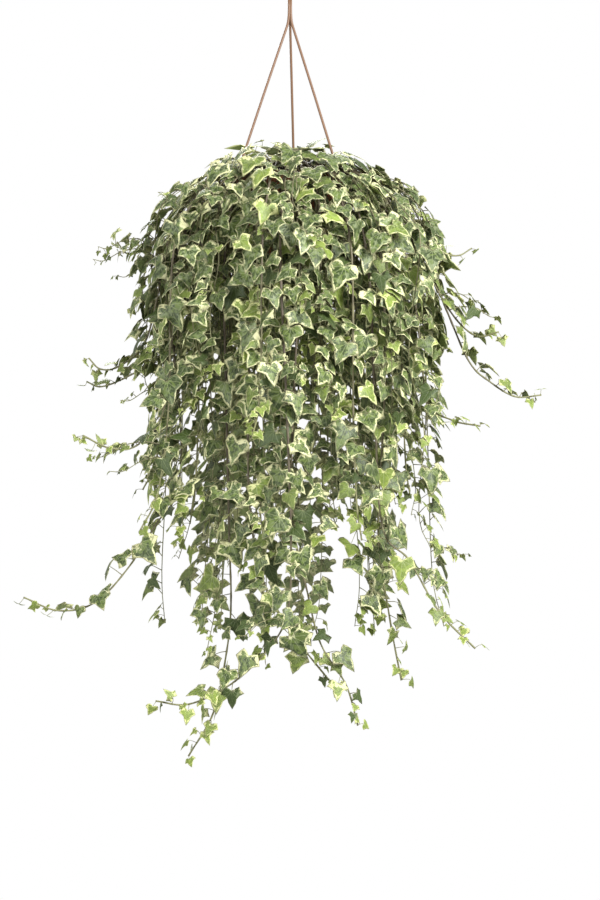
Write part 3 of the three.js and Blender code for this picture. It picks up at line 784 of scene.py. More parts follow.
def shoots(parents, count, first, crowd):
    """Side shoots of young leaves, which stand out of the mound."""
    found = []
    for i in range(count):
        for attempt in range(SHOOT_TRIES):
            keys = (first + i, attempt)
            parent = parents[int(draw(*keys, 1) * len(parents))]
            start = parent.near(parent.at(parent.length * between(0.25, 0.9, *keys, 2))[0])
            if start[2] > SHOOT_TOP:
                continue
            rise = smoothstep(start[2], RIM_Z - 160, SHOOT_TOP) * 0.2
            long, turn = between(*SHOOT_LONG, *keys, 3), between(*SHOOT_TURN, *keys, 4)
            route = shoot_route(start, long, turn, rise)
            name = f"shoot_{i + 1:02d}"
            stem = Stem(name, route, SHOOT_SPACING, first + i, SHOOT_BARE, SHOOT_TIP_LENGTH, in_frame=False)
            rods = rods_along(stem.line, SHOOT_R)
            if all(crowd.is_free(rod) for rod in rods[1:]):
                break
        else:
            continue
        stem.radius, stem.tip_radius, stem.greenness = SHOOT_R, SHOOT_TIP_R, SHOOT_GREENNESS
        crowd.add_all(rods[1:])
        found.append(stem)
    return found


def strand_route(bearing):
    places = (
        (BUNDLE_R, COLLAR_BOTTOM + 3),
        (BUNDLE_R, BUNDLE_END + 14),
        (BUNDLE_R + 1.2, BUNDLE_END),
        (mix(BUNDLE_R, CLIP_R, 0.5), mix(BUNDLE_END, LUG_TOP + 10, 0.5)),
        (CLIP_R - 2, LUG_TOP + 10),
        (CLIP_R, LUG_TOP + 3),
        (CLIP_R, LUG_TOP - LUG_THICK - 2),
    )
    return [polar(r, z, bearing) for r, z in places]


# Mesh helpers


def aim(points, i):
    """The direction of a line of points at one of them."""
    return unit(points[min(i + 1, len(points) - 1)] - points[max(i - 1, 0)])


def frame_matrix(point, side, along):
    """A matrix that puts a flat ring square to a direction, at a point."""
    third = cross(along, side)
    columns = [(*side, 0), (*third, 0), (*along, 0), (*point, 1)]
    return Matrix(columns).transposed()


TUBES = {}
ABOUT_Z = dict(axis=(0, 0, 1), cent=(0, 0, 0))


def mesh_of(name, bm):
    """A mesh made from a bmesh, which is freed."""
    mesh = bpy.data.meshes.new(name)
    bm.to_mesh(mesh)
    bm.free()
    return mesh


def in_scene(name, data):
    thing = bpy.data.objects.new(name, data)
    bpy.context.scene.collection.objects.link(thing)
    return thing


def straight_tube(sides, rings):
    """A straight closed tube of radius 1 with its rings 1 apart. It is made once and copied."""
    if (sides, rings) not in TUBES:
        bm = bmesh.new()
        circle = bmesh.ops.create_circle(bm, cap_ends=True, radius=1, segments=sides)["verts"]
        edges = list(dict.fromkeys(e for v in circle for e in v.link_edges))
        steps = dict(dvec=(0, 0, 1), angle=0, steps=rings - 1)
        drawn = bmesh.ops.spin(bm, geom=[*circle, *edges], **ABOUT_Z, **steps)
        last = [g for g in drawn["geom_last"] if isinstance(g, bmesh.types.BMEdge)]
        bmesh.ops.contextual_create(bm, geom=last)
        bmesh.ops.recalc_face_normals(bm, faces=bm.faces)
        TUBES[sides, rings] = mesh_of("straight_tube", bm)
    return TUBES[sides, rings]


def add_tube(bm, points, radii, sides, side=None):
    """A closed tube along a line of points: each ring of a straight one is put in its place."""
    first = len(bm.verts)
    bm.from_mesh(straight_tube(sides, len(points)))
    bm.verts.ensure_lookup_table()
    verts = bm.verts[first:]
    places = []
    for i, (point, radius) in enumerate(zip(points, radii)):
        along = aim(points, i)
        if side is None:
            side = square_to(along)
        side = unit(side - along * (side @ along))
        places.append(frame_matrix(point, side, along) @ Matrix.Scale(radius, 4))
    for v in verts:
        place = places[round(v.co.z)]
        v.co.z = 0
        v.co = place @ v.co
    return verts


def spun(bm, profile, sides):
    """A solid of revolution about Z from a profile of radius and height, closed or from axis to axis."""
    verts = [bm.verts.new((r, 0, z)) for r, z in profile]
    ends = [*verts[1:], verts[0]] if profile[0][0] else verts[1:]
    edges = [bm.edges.new(pair) for pair in zip(verts, ends)]
    bmesh.ops.spin(bm, geom=[*verts, *edges], **ABOUT_Z, angle=2 * math.pi, steps=sides, use_merge=True)
    bmesh.ops.remove_doubles(bm, verts=bm.verts, dist=0.001)
    bmesh.ops.recalc_face_normals(bm, faces=bm.faces)


def finished(name, bm, materials, nodes):
    """The piece that a bmesh in millimetres makes: an object in metres that rides on the root."""
    bmesh.ops.transform(bm, matrix=Matrix.Scale(MM, 4), verts=bm.verts)
    for face in bm.faces:
        face.smooth = True
    piece = in_scene(name, mesh_of(name, bm))
    for material in materials:
        piece.data.materials.append(material)
    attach(piece, "root")
    if nodes:
        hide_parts(*nodes)
    return piece


# The blade


def edge_distance(outline, u, v):
    """How far a point of the blade is from its outline."""
    right = [np.array((0.0, 0.0)), *(np.array(p) for p in outline)]
    point = np.array((abs(u), v))
    return min(math.dist(point, nearest_on(a, b, point)) for a, b in zip(right, right[1:]))


def blade_mesh(name, outline, wide, fold, wave, seed):
    """A lobed blade of length 1 with its petiole's end at the origin, the tip along +Y and the face up +Z.

    Its upper and lower faces meet at the outline. Its corners know where they lie on the blade."""
    bm = bmesh.new()
    rib = [bm.verts.new((0, v, 0)) for v in (0, *MIDRIB, 1)]
    for side in (1, -1):
        half = [bm.verts.new((side * u, v, 0)) for u, v in outline[:-1]]
        bm.faces.new([*rib, *reversed(half)] if side == 1 else [*reversed(rib), *half])
    bmesh.ops.recalc_face_normals(bm, faces=bm.faces)
    if bm.faces[:][0].normal.z < 0:
        bmesh.ops.reverse_faces(bm, faces=bm.faces)
    upper = bm.faces[:]
    lower = [g for g in bmesh.ops.duplicate(bm, geom=upper)["geom"] if isinstance(g, bmesh.types.BMFace)]
    bmesh.ops.reverse_faces(bm, faces=lower)
    lower = bmesh.ops.poke(bm, faces=lower)["faces"]
    bmesh.ops.inset_region(bm, faces=upper, thickness=BLADE_MARGIN, use_boundary=True, use_even_offset=True)
    bmesh.ops.poke(bm, faces=[f for f in bm.faces if len(f.verts) > 4])
    place = bm.verts.layers.float_vector.new("blade")
    under = bm.verts.layers.float.new("underside")
    below = {v for f in lower for v in f.verts}
    for v in bm.verts:
        x, y = v.co.x, v.co.y
        v[place] = (x, y, 0 if v.is_boundary else edge_distance(outline, x, y))
        v[under] = v in below
        ripple = noise.noise(Vector((x * 2.6, y * 2.6, seed))) * wave
        v.co.z = -ARCH_ACROSS * x * x - ARCH_ALONG * y * y + fold * abs(x) * math.exp(-2 * abs(x)) + ripple
        v.co.x *= wide
        if v in below and not v.is_boundary:
            v.co.z -= BLADE_THICK
    rim = [v for v in bm.verts if v.is_boundary]
    bmesh.ops.remove_doubles(bm, verts=rim, dist=1e-5)
    return mesh_of(name, bm)


def blade_kinds():
    """The blades that leaves are copied from. The two with the sharpest lobes are also the old leaves'."""
    kinds = (
        ("broad", HALF_OUTLINE, 1.0, 0.1, 0.05, 1.0),
        ("folded", HALF_OUTLINE, 0.96, 0.2, 0.06, 5.0),
        ("waved", SHOULDER_OUTLINE, 1.02, 0.08, 0.11, 9.0),
        ("narrow", SHOULDER_OUTLINE, 0.9, 0.15, 0.06, 13.0),
        ("cupped", SHOULDER_OUTLINE, 1.0, 0.26, 0.04, 25.0),
        ("sharp", SHARP_OUTLINE, 0.96, 0.12, 0.06, 17.0),
        ("sharp_waved", SHARP_OUTLINE, 0.9, 0.16, 0.1, 21.0),
    )
    return [blade_mesh("blade_" + name, *sizes) for name, *sizes in kinds]


def as_stalk(corner):
    """Gives the faces round a corner the stem's material."""
    for face in corner.link_faces:
        face.material_index = 1


def add_leaf(bm, leaf, blades):
    """A copy of a blade in its place, and the curved petiole that carries it."""
    place = bm.verts.layers.float_vector["blade"]
    facts = bm.verts.layers.float_vector["leaf"]
    growth = bm.verts.layers.float["growth"]
    kinds = blades[-2:] if leaf.age == OLD_AGE else blades
    blade = kinds[int(leaf.seed * 997) % len(kinds)]
    first = len(bm.verts)
    bm.from_mesh(blade)
    bm.verts.ensure_lookup_table()
    columns = [(*(axis * leaf.long), 0) for axis in (leaf.across, leaf.along, leaf.normal)]
    matrix = Matrix([*columns, (*leaf.joint, 1)]).transposed()
    for v in bm.verts[first:]:
        v.co = matrix @ v.co
        v[facts] = (leaf.tint, leaf.age, leaf.seed)
    # the petiole leaves the stem along its own line and ends under the midrib
    reach = math.dist(leaf.root, leaf.joint)
    end = leaf.place(0, 0.07) - leaf.normal * (BLADE_THICK * leaf.long)
    lift = leaf.joint + leaf.normal * 0.12 * reach - leaf.along * 0.25 * reach
    curve = [bent(leaf.root, lift, end, t) for t in (0, 0.35, 0.7, 1)]
    grown = min(leaf.age, 1)
    thick = mix(0.36, 0.56, grown)
    radii = [thick * 1.25, thick, thick * 0.9, thick * 0.5]
    for v in add_tube(bm, curve, radii, 5):
        v[growth] = mix(1.0, 0.8, grown)
        v[place] = (0, 0, 0)
        as_stalk(v)


def make_leafy_stem(stem, blades, materials, nodes):
    """A stem with its leaves. The stem has a swelling at each leaf and thins towards its tip."""
    bm = bmesh.new()
    for name in ("blade", "leaf"):
        bm.verts.layers.float_vector.new(name)
    for name in ("underside", "growth"):
        bm.verts.layers.float.new(name)
    growth = bm.verts.layers.float["growth"]
    points = stem.fine
    steps = [0.0, *np.cumsum([math.dist(a, b) for a, b in zip(points, points[1:])])]
    total = steps[-1]
    knots = [steps[index_nearest(points, leaf.root)] for leaf in stem.leaves]
    radii = []
    for s in steps:
        swell = 0.28 * sum(math.exp(-(((s - k) / 4) ** 2)) for k in knots)
        radii.append(mix(stem.radius, stem.tip_radius, s / total) * (1 + min(swell, 0.35)))
    sides = 8 if stem.radius == STEM_R else 6
    for i, v in enumerate(add_tube(bm, points, radii, sides)):
        v[growth] = mix(stem.greenness, 1, (i // sides) / len(points))
        as_stalk(v)
    for leaf in stem.leaves:
        add_leaf(bm, leaf, blades)
    return finished(f"ivy_{stem.name}", bm, materials, nodes)


# Materials


class Finish:
    """A material whose nodes are added by plain calls. Each call gives the socket that comes out."""

    def __init__(self, name):
        self.material = bpy.data.materials.new(name)
        self.material.use_nodes = True
        self.nodes = self.material.node_tree.nodes
        self.links = self.material.node_tree.links
        self.shader = self.nodes["Principled BSDF"]

    def node(self, kind, inputs=(), **settings):
        node = self.nodes.new(kind)
        for key, value in settings.items():
            setattr(node, key, value)
        for key, value in dict(inputs).items():
            self.put(node.inputs[key], value)
        return node

    def put(self, socket, value):
        if isinstance(value, bpy.types.NodeSocket):
            self.links.new(value, socket)
        elif socket.type == "RGBA":
            socket.default_value = (*value, 1)
        else:
            socket.default_value = value

    def set(self, **values):
        for key, value in values.items():
            self.put(self.shader.inputs[key.replace("_", " ").title().replace("Ior", "IOR")], value)

    def math(self, operation, *values):
        return self.node("ShaderNodeMath", dict(enumerate(values)), operation=operation).outputs[0]

    def scaled(self, value, by, plus):
        return self.math("MULTIPLY_ADD", value, by, plus)

    def rest(self, share):
        return self.math("SUBTRACT", 1.0, share)

    def distance(self, x, y):
        """How far a place is from the middle."""
        return self.math("SQRT", self.math("ADD", self.math("MULTIPLY", x, x), self.math("MULTIPLY", y, y)))

    def vector(self, operation, *values):
        return self.node("ShaderNodeVectorMath", dict(enumerate(values)), operation=operation).outputs[0]

    def attribute(self, name):
        return self.node("ShaderNodeAttribute", attribute_name=name)

    def where(self):
        return self.node("ShaderNodeTexCoord").outputs["Object"]

    def split(self, vector):
        return self.node("ShaderNodeSeparateXYZ", {0: vector}).outputs

    def noise(self, vector, scale, detail=2.0, distortion=0.0):
        inputs = {"Vector": vector, "Scale": scale, "Detail": detail, "Distortion": distortion}
        return self.node("ShaderNodeTexNoise", inputs).outputs["Fac"]

    def step(self, value, low, high):
        inputs = {"Value": value, "From Min": low, "From Max": high}
        return self.node("ShaderNodeMapRange", inputs, interpolation_type="SMOOTHSTEP").outputs["Result"]

    def blend(self, share, a, b, mode="MIX"):
        node = self.node("ShaderNodeMix", data_type="RGBA", blend_type=mode)
        self.put(node.inputs["Factor"], share)
        self.put(node.inputs[6], a)
        self.put(node.inputs[7], b)
        return node.outputs[2]

    def shaded(self, colour, share):
        """A colour made darker or lighter by a share."""
        grey = self.node("ShaderNodeCombineColor", dict.fromkeys(range(3), share)).outputs[0]
        return self.blend(1.0, colour, grey, "MULTIPLY")

    def bump(self, height, distance, strength):
        inputs = {"Height": height, "Distance": distance, "Strength": strength}
        self.put(self.shader.inputs["Normal"], self.node("ShaderNodeBump", inputs).outputs["Normal"])


VEIN_ANGLES = (0.0, 0.62, 1.21, 1.86)


def leaf_finish(settings):
    """Cream margin with a ragged inner edge, blotches of grey, mid and dark green, and pale veins; a painted
    sheen makes the grey blotches stronger towards the mound's top.
    """
    f = Finish("ivy_leaf")
    blade = f.attribute("blade").outputs["Vector"]
    x, y, edge = f.split(blade)
    tint, age, seed = f.split(f.attribute("leaf").outputs["Vector"])
    under = f.attribute("underside").outputs["Fac"]
    offset = {0: f.math("MULTIPLY", seed, 61.0), 1: f.math("MULTIPLY", tint, 47.0)}
    shift = f.node("ShaderNodeCombineXYZ", offset)
    flat = f.vector("MULTIPLY", blade, (1.0, 1.0, 0.0))
    own = f.vector("ADD", flat, shift.outputs[0])
    broad = f.noise(own, 3.2, 2.0)
    ragged = f.noise(own, 15.0, 3.0, 0.4)
    # the cream margin, wide on some leaves and a thin line on most
    old = f.step(age, 1.05, 1.3)
    wide = f.scaled(f.math("MULTIPLY", tint, tint), 0.05, 0.036)
    width = f.scaled(f.math("SUBTRACT", broad, 0.5), 0.26, wide)
    width = f.scaled(f.math("SUBTRACT", ragged, 0.5), 0.13, width)
    width = f.math("MAXIMUM", width, 0.022)
    width = f.math("MULTIPLY", width, f.scaled(old, -0.75, 1.0))
    inside = f.math("SUBTRACT", edge, width)
    cream = f.rest(f.step(inside, -0.01, 0.012))
    # the veins spread from the end of the petiole
    out = f.distance(x, y)
    angle = f.math("ARCTAN2", f.math("ABSOLUTE", x), y)
    near = None
    for vein in VEIN_ANGLES:
        off = f.math("MULTIPLY", out, f.math("ABSOLUTE", f.math("SUBTRACT", angle, vein)))
        near = off if near is None else f.math("MINIMUM", near, off)
    thin = f.scaled(out, -0.012, 0.022)
    vein = f.rest(f.step(near, f.math("MULTIPLY", thin, 0.35), thin))
    ribs = f.scaled(f.math("ABSOLUTE", x), -0.85, y)
    comb = f.math("ABSOLUTE", f.math("SUBTRACT", f.math("FRACT", f.math("MULTIPLY", ribs, 7.0)), 0.5))
    fine = f.math("MULTIPLY", f.rest(f.step(comb, 0.03, 0.1)), 0.45)
    drawn = f.math("MAXIMUM", vein, fine)
    # the greens
    blotch = f.step(f.noise(own, 4.2, 3.0, 0.7), 0.47, 0.54)
    ashen = f.step(f.noise(f.vector("ADD", own, (9.0, 3.0, 0.0)), 5.0, 2.0, 0.5), 0.52, 0.6)
    green = f.blend(blotch, settings.dark_green, settings.mid_green)
    # painted sheen: the grey blotches are mixed in more strongly towards the top of the mound, so the leaves
    # there are greyer, as if they caught the light from above
    height = f.split(f.where())[2]
    painted_sheen = f.scaled(f.step(height, -0.62, -0.34), 0.45, 0.45)
    green = f.blend(f.math("MULTIPLY", ashen, painted_sheen), green, settings.grey_green)
    fresh = f.rest(f.step(age, 0.1, 0.9))
    brighter = f.math("MULTIPLY", fresh, f.scaled(blotch, 0.25, 0.65))
    green = f.blend(brighter, green, settings.young_green)
    pale = f.blend(f.math("MULTIPLY", fresh, 0.7), settings.cream, settings.young_cream)
    green = f.blend(f.math("MULTIPLY", old, 0.85), green, settings.old_green)
    streaks = f.scaled(old, -0.16, 0.34)
    colour = f.blend(f.math("MULTIPLY", drawn, streaks), green, settings.vein)
    colour = f.blend(cream, colour, pale)
    colour = f.blend(f.math("MULTIPLY", under, 0.45), colour, settings.underside)
    f.set(base_color=f.shaded(colour, f.scaled(tint, 0.36, 0.82)))
    f.set(roughness=f.scaled(ragged, 0.16, f.scaled(under, 0.2, 0.36)))
    f.shader.inputs["Specular IOR Level"].default_value = 0.45
    f.bump(f.scaled(drawn, -0.8, f.math("MULTIPLY", ragged, 0.6)), 0.0006, 0.7)
    return f.material


def stem_finish(settings):
    """Woody and grey-brown near the pot, greener towards the tips."""
    f = Finish("ivy_stem")
    growth = f.attribute("growth").outputs["Fac"]
    where = f.where()
    grain = f.noise(where, 420.0, 3.0, 0.4)
    patches = f.noise(where, 60.0, 2.0)
    bark = f.blend(patches, settings.bark, settings.bark_light)
    shift = f.scaled(f.math("SUBTRACT", patches, 0.5), 0.5, growth)
    colour = f.blend(f.step(shift, 0.45, 0.95), bark, settings.petiole)
    colour = f.shaded(colour, f.scaled(grain, 0.5, 0.72))
    f.set(base_color=colour, roughness=f.scaled(grain, 0.3, 0.4))
    f.bump(grain, 0.0003, 0.6)
    return f.material


def plastic_finish(name, colour, dull):
    """Thin moulded terracotta plastic: even, faintly mottled, a little chalky on the pot."""
    f = Finish(name)
    where = f.where()
    cloud = f.noise(where, 22.0, 3.0)
    speck = f.noise(where, 900.0, 2.0)
    shade = f.scaled(cloud, 0.22, f.scaled(speck, 0.1, 0.84))
    f.set(base_color=f.shaded(colour, shade))
    f.set(roughness=f.scaled(cloud, 0.16, dull))
    f.bump(speck, 0.00012, 0.5)
    return f.material


def soil_finish(settings):
    """Dark damp peat with fibres and paler crumbs."""
    f = Finish("potting_soil")
    where = f.where()
    lumps = f.noise(where, 160.0, 5.0, 0.3)
    crumbs = f.noise(where, 620.0, 3.0)
    colour = f.blend(f.step(lumps, 0.35, 0.7), settings.peat, settings.peat_light)
    colour = f.blend(f.step(crumbs, 0.68, 0.74), colour, settings.fibre)
    f.set(base_color=colour, roughness=f.scaled(crumbs, 0.2, 0.75))
    f.bump(f.math("ADD", lumps, crumbs), 0.0012, 0.8)
    return f.material


def colour_property(name, text, colour):
    limits = dict(size=3, min=0, max=1)
    return FloatVectorProperty(name=name, description=text, subtype="COLOR", default=srgb(*colour), **limits)


def count_property(name, text, default, most):
    return IntProperty(name=name, description=text, default=default, min=0, max=most)


def size_property(name, text, default):
    return FloatProperty(name=name, description=text, default=default, min=0.3, max=1, subtype="FACTOR")


def length_property(name, text, default):
    return FloatProperty(name=name, description=text, default=default, min=0.1, unit="LENGTH")


def light_property(name, text, default):
    return FloatProperty(name=name, description=text, default=default, min=0)


class IvyFoliageSettings(bpy.types.PropertyGroup):
    """Sizes and colours of the leaves and stems."""

    apron_count: count_property("Apron stems", "Short stems that hang close to the pot", 28, 60)
    crown_count: count_property("Crown stems", "Short stems that cover the rim", 48, 80)
    skirt_count: count_property("Skirt stems", "Stems that close the mound", 58, 100)
    curtain_count: count_property("Curtain stems", "Long hanging stems under the mound", 44, 60)
    middle_count: count_property("Middle stems", "Short stems that cover the soil", 14, 40)
    shoot_count: count_property("Side shoots", "Short shoots of young leaves that stand out", 46, 100)
    between_size: size_property("Smaller leaves", "Size of the leaves between the frame's", 0.86)
    fill_size: size_property("Filling leaves", "Size of the leaves on the filling stems", 0.96)
    shoot_size: size_property("Shoots' leaves", "Size of the leaves on the side shoots", 0.62)
    cream: colour_property("Cream", "The margin of grown leaves", (222, 221, 170))
    young_cream: colour_property("Young cream", "The margin of young leaves", (210, 216, 136))
    dark_green: colour_property("Dark green", "The darkest blotches", (60, 76, 36))
    mid_green: colour_property("Mid green", "Most of a grown leaf", (104, 122, 60))
    # also mixed in more strongly towards the mound's top, as a painted sheen
    grey_green: colour_property("Grey green", "The ashen blotches", (132, 144, 104))
    young_green: colour_property("Young green", "Young leaves at the tips", (140, 160, 66))
    old_green: colour_property("Old green", "Old leaves, which are dark and plain", (62, 80, 34))
    vein: colour_property("Veins", "The midrib and the veins", (190, 200, 148))
    underside: colour_property("Underside", "The lower face of the blades", (160, 172, 122))
    bark: colour_property("Bark", "Old stems", (82, 72, 60))
    bark_light: colour_property("Light bark", "Lighter stretches of old stems", (124, 114, 92))
    petiole: colour_property("Petiole", "Young stems and petioles", (138, 138, 96))


class IvyPotSettings(bpy.types.PropertyGroup):
    """Colours of the pot, its soil and its hanger."""

    pot_colour: colour_property("Pot", "The pot's plastic", (158, 98, 66))
    hanger_colour: colour_property("Hanger", "The hanger's plastic", (130, 98, 74))
    peat: colour_property("Peat", "The soil", (44, 33, 26))
    peat_light: colour_property("Light peat", "Drier soil", (84, 66, 50))
    fibre: colour_property("Fibres", "Pale crumbs and fibres in the soil", (132, 108, 80))


class IvyStageSettings(bpy.types.PropertyGroup):
    """The floor, the lights and the camera."""

    camera_distance: length_property("Camera distance", "From the middle of the picture", 3.0)
    camera_elevation: FloatProperty(
        name="Camera elevation", description="How far it looks down", default=math.radians(3), subtype="ANGLE"
    )
    view_height: length_property("View height", "What the picture covers at the plant", 1.269)
    floor_depth: length_property("Floor", "How far the floor lies below the hook", 1.45)
    key_power: light_property("Key light", "Power of the key light in watts", 108)
    fill_power: light_property("Fill light", "Power of the fill light in watts", 28)
    back_power: light_property("Back light", "Power of the back light in watts", 44)
    sky: light_property("Sky", "How much the white surroundings light the plant", 0.52)


# Operators


class IVY_OT_hanger(bpy.types.Operator):
    """The hook, its collar and the three strands that plug into the rim"""

    bl_idname = "ivy.hanger"
    bl_label = "Build the hanger"

    def execute(self, context):
        settings = context.scene.ivy_pot
        bm = bmesh.new()
        centre = HOOK_R - HOOK_BEND
        neck = [(0, COLLAR_TOP - 4), (0, COLLAR_TOP + 6), (-5.5, centre - 12.5), (-9.3, centre - 6)]
        bend = [
            (HOOK_BEND * math.cos(math.radians(t)), centre + HOOK_BEND * math.sin(math.radians(t)))
            for t in range(180, -21, -25)
        ]
        route = [vec(x, 0, z) for x, z in (*neck, *bend, (11.5, centre - 8.5))]
        path = smooth_curve(route, 4)
        radii = [HOOK_R] * (len(path) - 2) + [HOOK_R * 0.92, HOOK_R * 0.55]
        add_tube(bm, path, radii, 16, vec(0, 1, 0))
        collar = [COLLAR_TOP, COLLAR_TOP - 0.6, COLLAR_BOTTOM + 0.6, COLLAR_BOTTOM]
        add_tube(bm, [vec(0, 0, z) for z in collar], [3.3, 3.9, 5.2, 4.7], 24, vec(1, 0, 0))
        plug_top = LUG_TOP - LUG_THICK - 0.6
        for bearing in CLIP_AZIMUTHS:
            line = rounded_strand(strand_route(bearing))
            add_tube(bm, line, [STRAND_DRAWN_R] * len(line), 12, polar(0, 0, bearing, 1))
            plug = [(plug_top + 0.3, 2.4), (plug_top - 0.5, 3.2), (plug_top - 1.4, 3.1), (plug_top - 5, 1.3)]
            add_tube(bm, [polar(CLIP_R, z, bearing) for z, _ in plug], [r for _, r in plug], 16, vec(1, 0, 0))
        material = plastic_finish("hanger_plastic", settings.hanger_colour, 0.36)
        finished("hanging_strands", bm, [material], ["hanger"])
        return {"FINISHED"}


def rounded_strand(route):
    """A strand's line with its corners rounded: it stays straight between them."""
    line = [route[0]]
    for before, corner, after in zip(route, route[1:], route[2:]):
        cut = min(math.dist(before, corner), math.dist(corner, after), 12) * 0.45
        start = corner + unit(before - corner) * cut
        end = corner + unit(after - corner) * cut
        line += [bent(start, corner, end, t) for t in (0, 0.33, 0.67, 1)]
    return [*line, route[-1]]


class IVY_OT_pot(bpy.types.Operator):
    """The plastic pot with its banded rim, foot and three lugs"""

    bl_idname = "ivy.pot"
    bl_label = "Build the pot"

    def execute(self, context):
        settings = context.scene.ivy_pot
        bm = bmesh.new()
        bottom = RIM_Z - POT_HEIGHT
        inside = bottom + FOOT + FLOOR
        band = RIM_Z - BAND_HEIGHT
        profile = [
            (0, bottom + FOOT),
            (BASE_R - 7, bottom + FOOT),
            (BASE_R - 6.2, bottom + 0.6),
            (BASE_R - 5.4, bottom),
            (BASE_R - 1, bottom),
            (BASE_R + 0.1, bottom + 1.2),
            (RIM_R - 5.6, band - 0.8),
            (RIM_R - 5, band),
            (RIM_R - 1.6, band),
            (RIM_R - 0.9, band + 0.8),
            (RIM_R - 0.1, RIM_Z - 1.2),
            (RIM_R - 0.8, RIM_Z),
            (RIM_R - 2.4, RIM_Z),
            (RIM_R - 3, RIM_Z - 1),
            (RIM_R - 3.6, band + 2),
            (RIM_R - 7.6, band - 1),
            (BASE_R - WALL + 0.4, inside + 1),
            (BASE_R - WALL - 1, inside),
            (0, inside),
        ]
        spun(bm, profile, POT_SIDES)
        for bearing in CLIP_AZIMUTHS:
            lug = bmesh.new()
            add_lug(lug)
            bmesh.ops.transform(lug, matrix=Matrix.Rotation(math.radians(bearing), 4, "Z"), verts=lug.verts)
            joined(bm, lug)
        material = plastic_finish("pot_plastic", settings.pot_colour, 0.5)
        piece = finished("plastic_pot", bm, [material], ["pot"])
        sharpened(piece, 35)
        return {"FINISHED"}


def joined(bm, other):
    """Adds another bmesh to one and frees it."""
    mesh = mesh_of("joined", other)
    bm.from_mesh(mesh)
    bpy.data.meshes.remove(mesh)


def add_lug(bm):
    """A ring that takes a strand's plug, and the neck that carries it on the rim."""
    low, high = LUG_TOP - LUG_THICK, LUG_TOP
    corners = [(LUG_HOLE_R, low), (LUG_R, low), (LUG_R, high), (LUG_HOLE_R, high)]
    spun(bm, corners, 24)
    bmesh.ops.translate(bm, verts=bm.verts, vec=(CLIP_R, 0, 0))
    start, end = RIM_R - 1.2, CLIP_R - LUG_HOLE_R - 1
    neck = bmesh.ops.create_cube(bm, size=1)["verts"]
    bmesh.ops.scale(bm, verts=neck, vec=(end - start, 9, LUG_THICK - 0.2))
    bmesh.ops.translate(bm, verts=neck, vec=((end + start) / 2, 0, LUG_TOP - LUG_THICK / 2))
    edges = [e for e in bm.edges if e.calc_face_angle(0) > 1.2]
    bmesh.ops.bevel(bm, geom=edges, offset=0.4, affect="EDGES", segments=2, profile=0.5, material=-1)
    bmesh.ops.recalc_face_normals(bm, faces=bm.faces)


def sharpened(piece, degrees):
    """Marks the edges of a smooth piece that turn by more than an angle as sharp."""
    bm = bmesh.new()
    bm.from_mesh(piece.data)
    for edge in bm.edges:
        edge.smooth = edge.calc_face_angle(0) < math.radians(degrees)
    bm.to_mesh(piece.data)
    bm.free()


CRUMBS = 170
SOIL_CROWN = 3.2


class IVY_OT_soil(bpy.types.Operator):
    """The soil: a body that fills the pot, with a lumpy crowned top and loose crumbs"""

    bl_idname = "ivy.soil"
    bl_label = "Build the soil"

    def execute(self, context):
        settings = context.scene.ivy_pot
        bm = bmesh.new()
        bottom = RIM_Z - POT_HEIGHT + FOOT + FLOOR + 0.6
        top_r = RIM_R - 6.4
        rings = [top_r * i / 14 for i in range(14, 0, -1)]
        side = [(0, bottom), (BASE_R - WALL - 2, bottom), (top_r - 3.4, SOIL_Z - 6)]
        spun(bm, [*side, *((r, SOIL_Z) for r in rings), (0, SOIL_Z)], 64)
        for v in bm.verts:
            if v.co.z > SOIL_Z - 1:
                r = math.hypot(v.co.x, v.co.y)
                inner = 1 - (r / top_r) ** 2
                lump = noise.noise(v.co * 0.09) * 1.8 + noise.noise(v.co * 0.3) * 0.9
                v.co.z += SOIL_CROWN * inner + lump * min(1, 3 * inner)
        chance = random.Random(4)
        for _ in range(CRUMBS):
            r, a = top_r * 0.93 * math.sqrt(chance.random()), chance.uniform(0, 2 * math.pi)
            size = chance.uniform(0.7, 2.1)
            crumb = bmesh.ops.create_icosphere(bm, subdivisions=1, radius=size)["verts"]
            for v in crumb:
                v.co *= 1 + 0.35 * noise.noise(v.co * 1.7 + Vector((r, a, 0)))
            turn = Matrix.Rotation(a * 3, 4, "X") @ Matrix.Diagonal((1.4, 1, 0.7, 1))
            height = SOIL_Z + SOIL_CROWN * (1 - (r / top_r) ** 2) + size * 0.25
            place = Matrix.Translation((r * math.cos(a), r * math.sin(a), height))
            bmesh.ops.transform(bm, matrix=place @ turn, verts=crumb)
        finished("potting_soil", bm, [soil_finish(settings)], ["soil"])
        return {"FINISHED"}


class IVY_OT_foliage(bpy.types.Operator):
    """Every stem with its leaves: those of the frame, more between them, and stems that close the mound"""

    bl_idname = "ivy.foliage"
    bl_label = "Grow the ivy"

    def execute(self, context):
        settings = context.scene.ivy_foliage
        crowd = Crowd()
        stems = frame_stems()
        for bearing in CLIP_AZIMUTHS:
            route = strand_route(bearing)
            crowd.add_all(rods_along(route, STRAND_R + 0.6))
        for stem in stems:
            crowd.add_all(rods_along(stem.line, STEM_R))
        grow_frame_leaves(stems, crowd)
        kept = sum(len(s.leaves) for s in stems)
        added = []
        for n, kind in enumerate(FILLING):
            count = getattr(settings, f"{kind}_count")
            added += filling_stems(kind, count, FILL_INDEX * (n + 1), crowd)
        side = shoots(stems + added, settings.shoot_count, FILL_INDEX * (len(FILLING) + 1), crowd)
        grow_all(side, crowd, settings.shoot_size, under_top=False)
        grow_between(stems, crowd, settings.between_size)
        grow_all(added, crowd, settings.fill_size)
        total = sum(len(s.leaves) for s in (*stems, *added, *side))
        print(f"{len(stems)} stems of the frame with {kept} leaves, {total} leaves in all")
        leaf, stalk = leaf_finish(settings), stem_finish(settings)
        blades = blade_kinds()
        for stem in (*stems, *added, *side):
            node = [f"stem_{stem.name}"] if stem.index < FILL_INDEX else []
            make_leafy_stem(stem, blades, [leaf, stalk], node)
        for blade in blades:
            bpy.data.meshes.remove(blade)
        return {"FINISHED"}


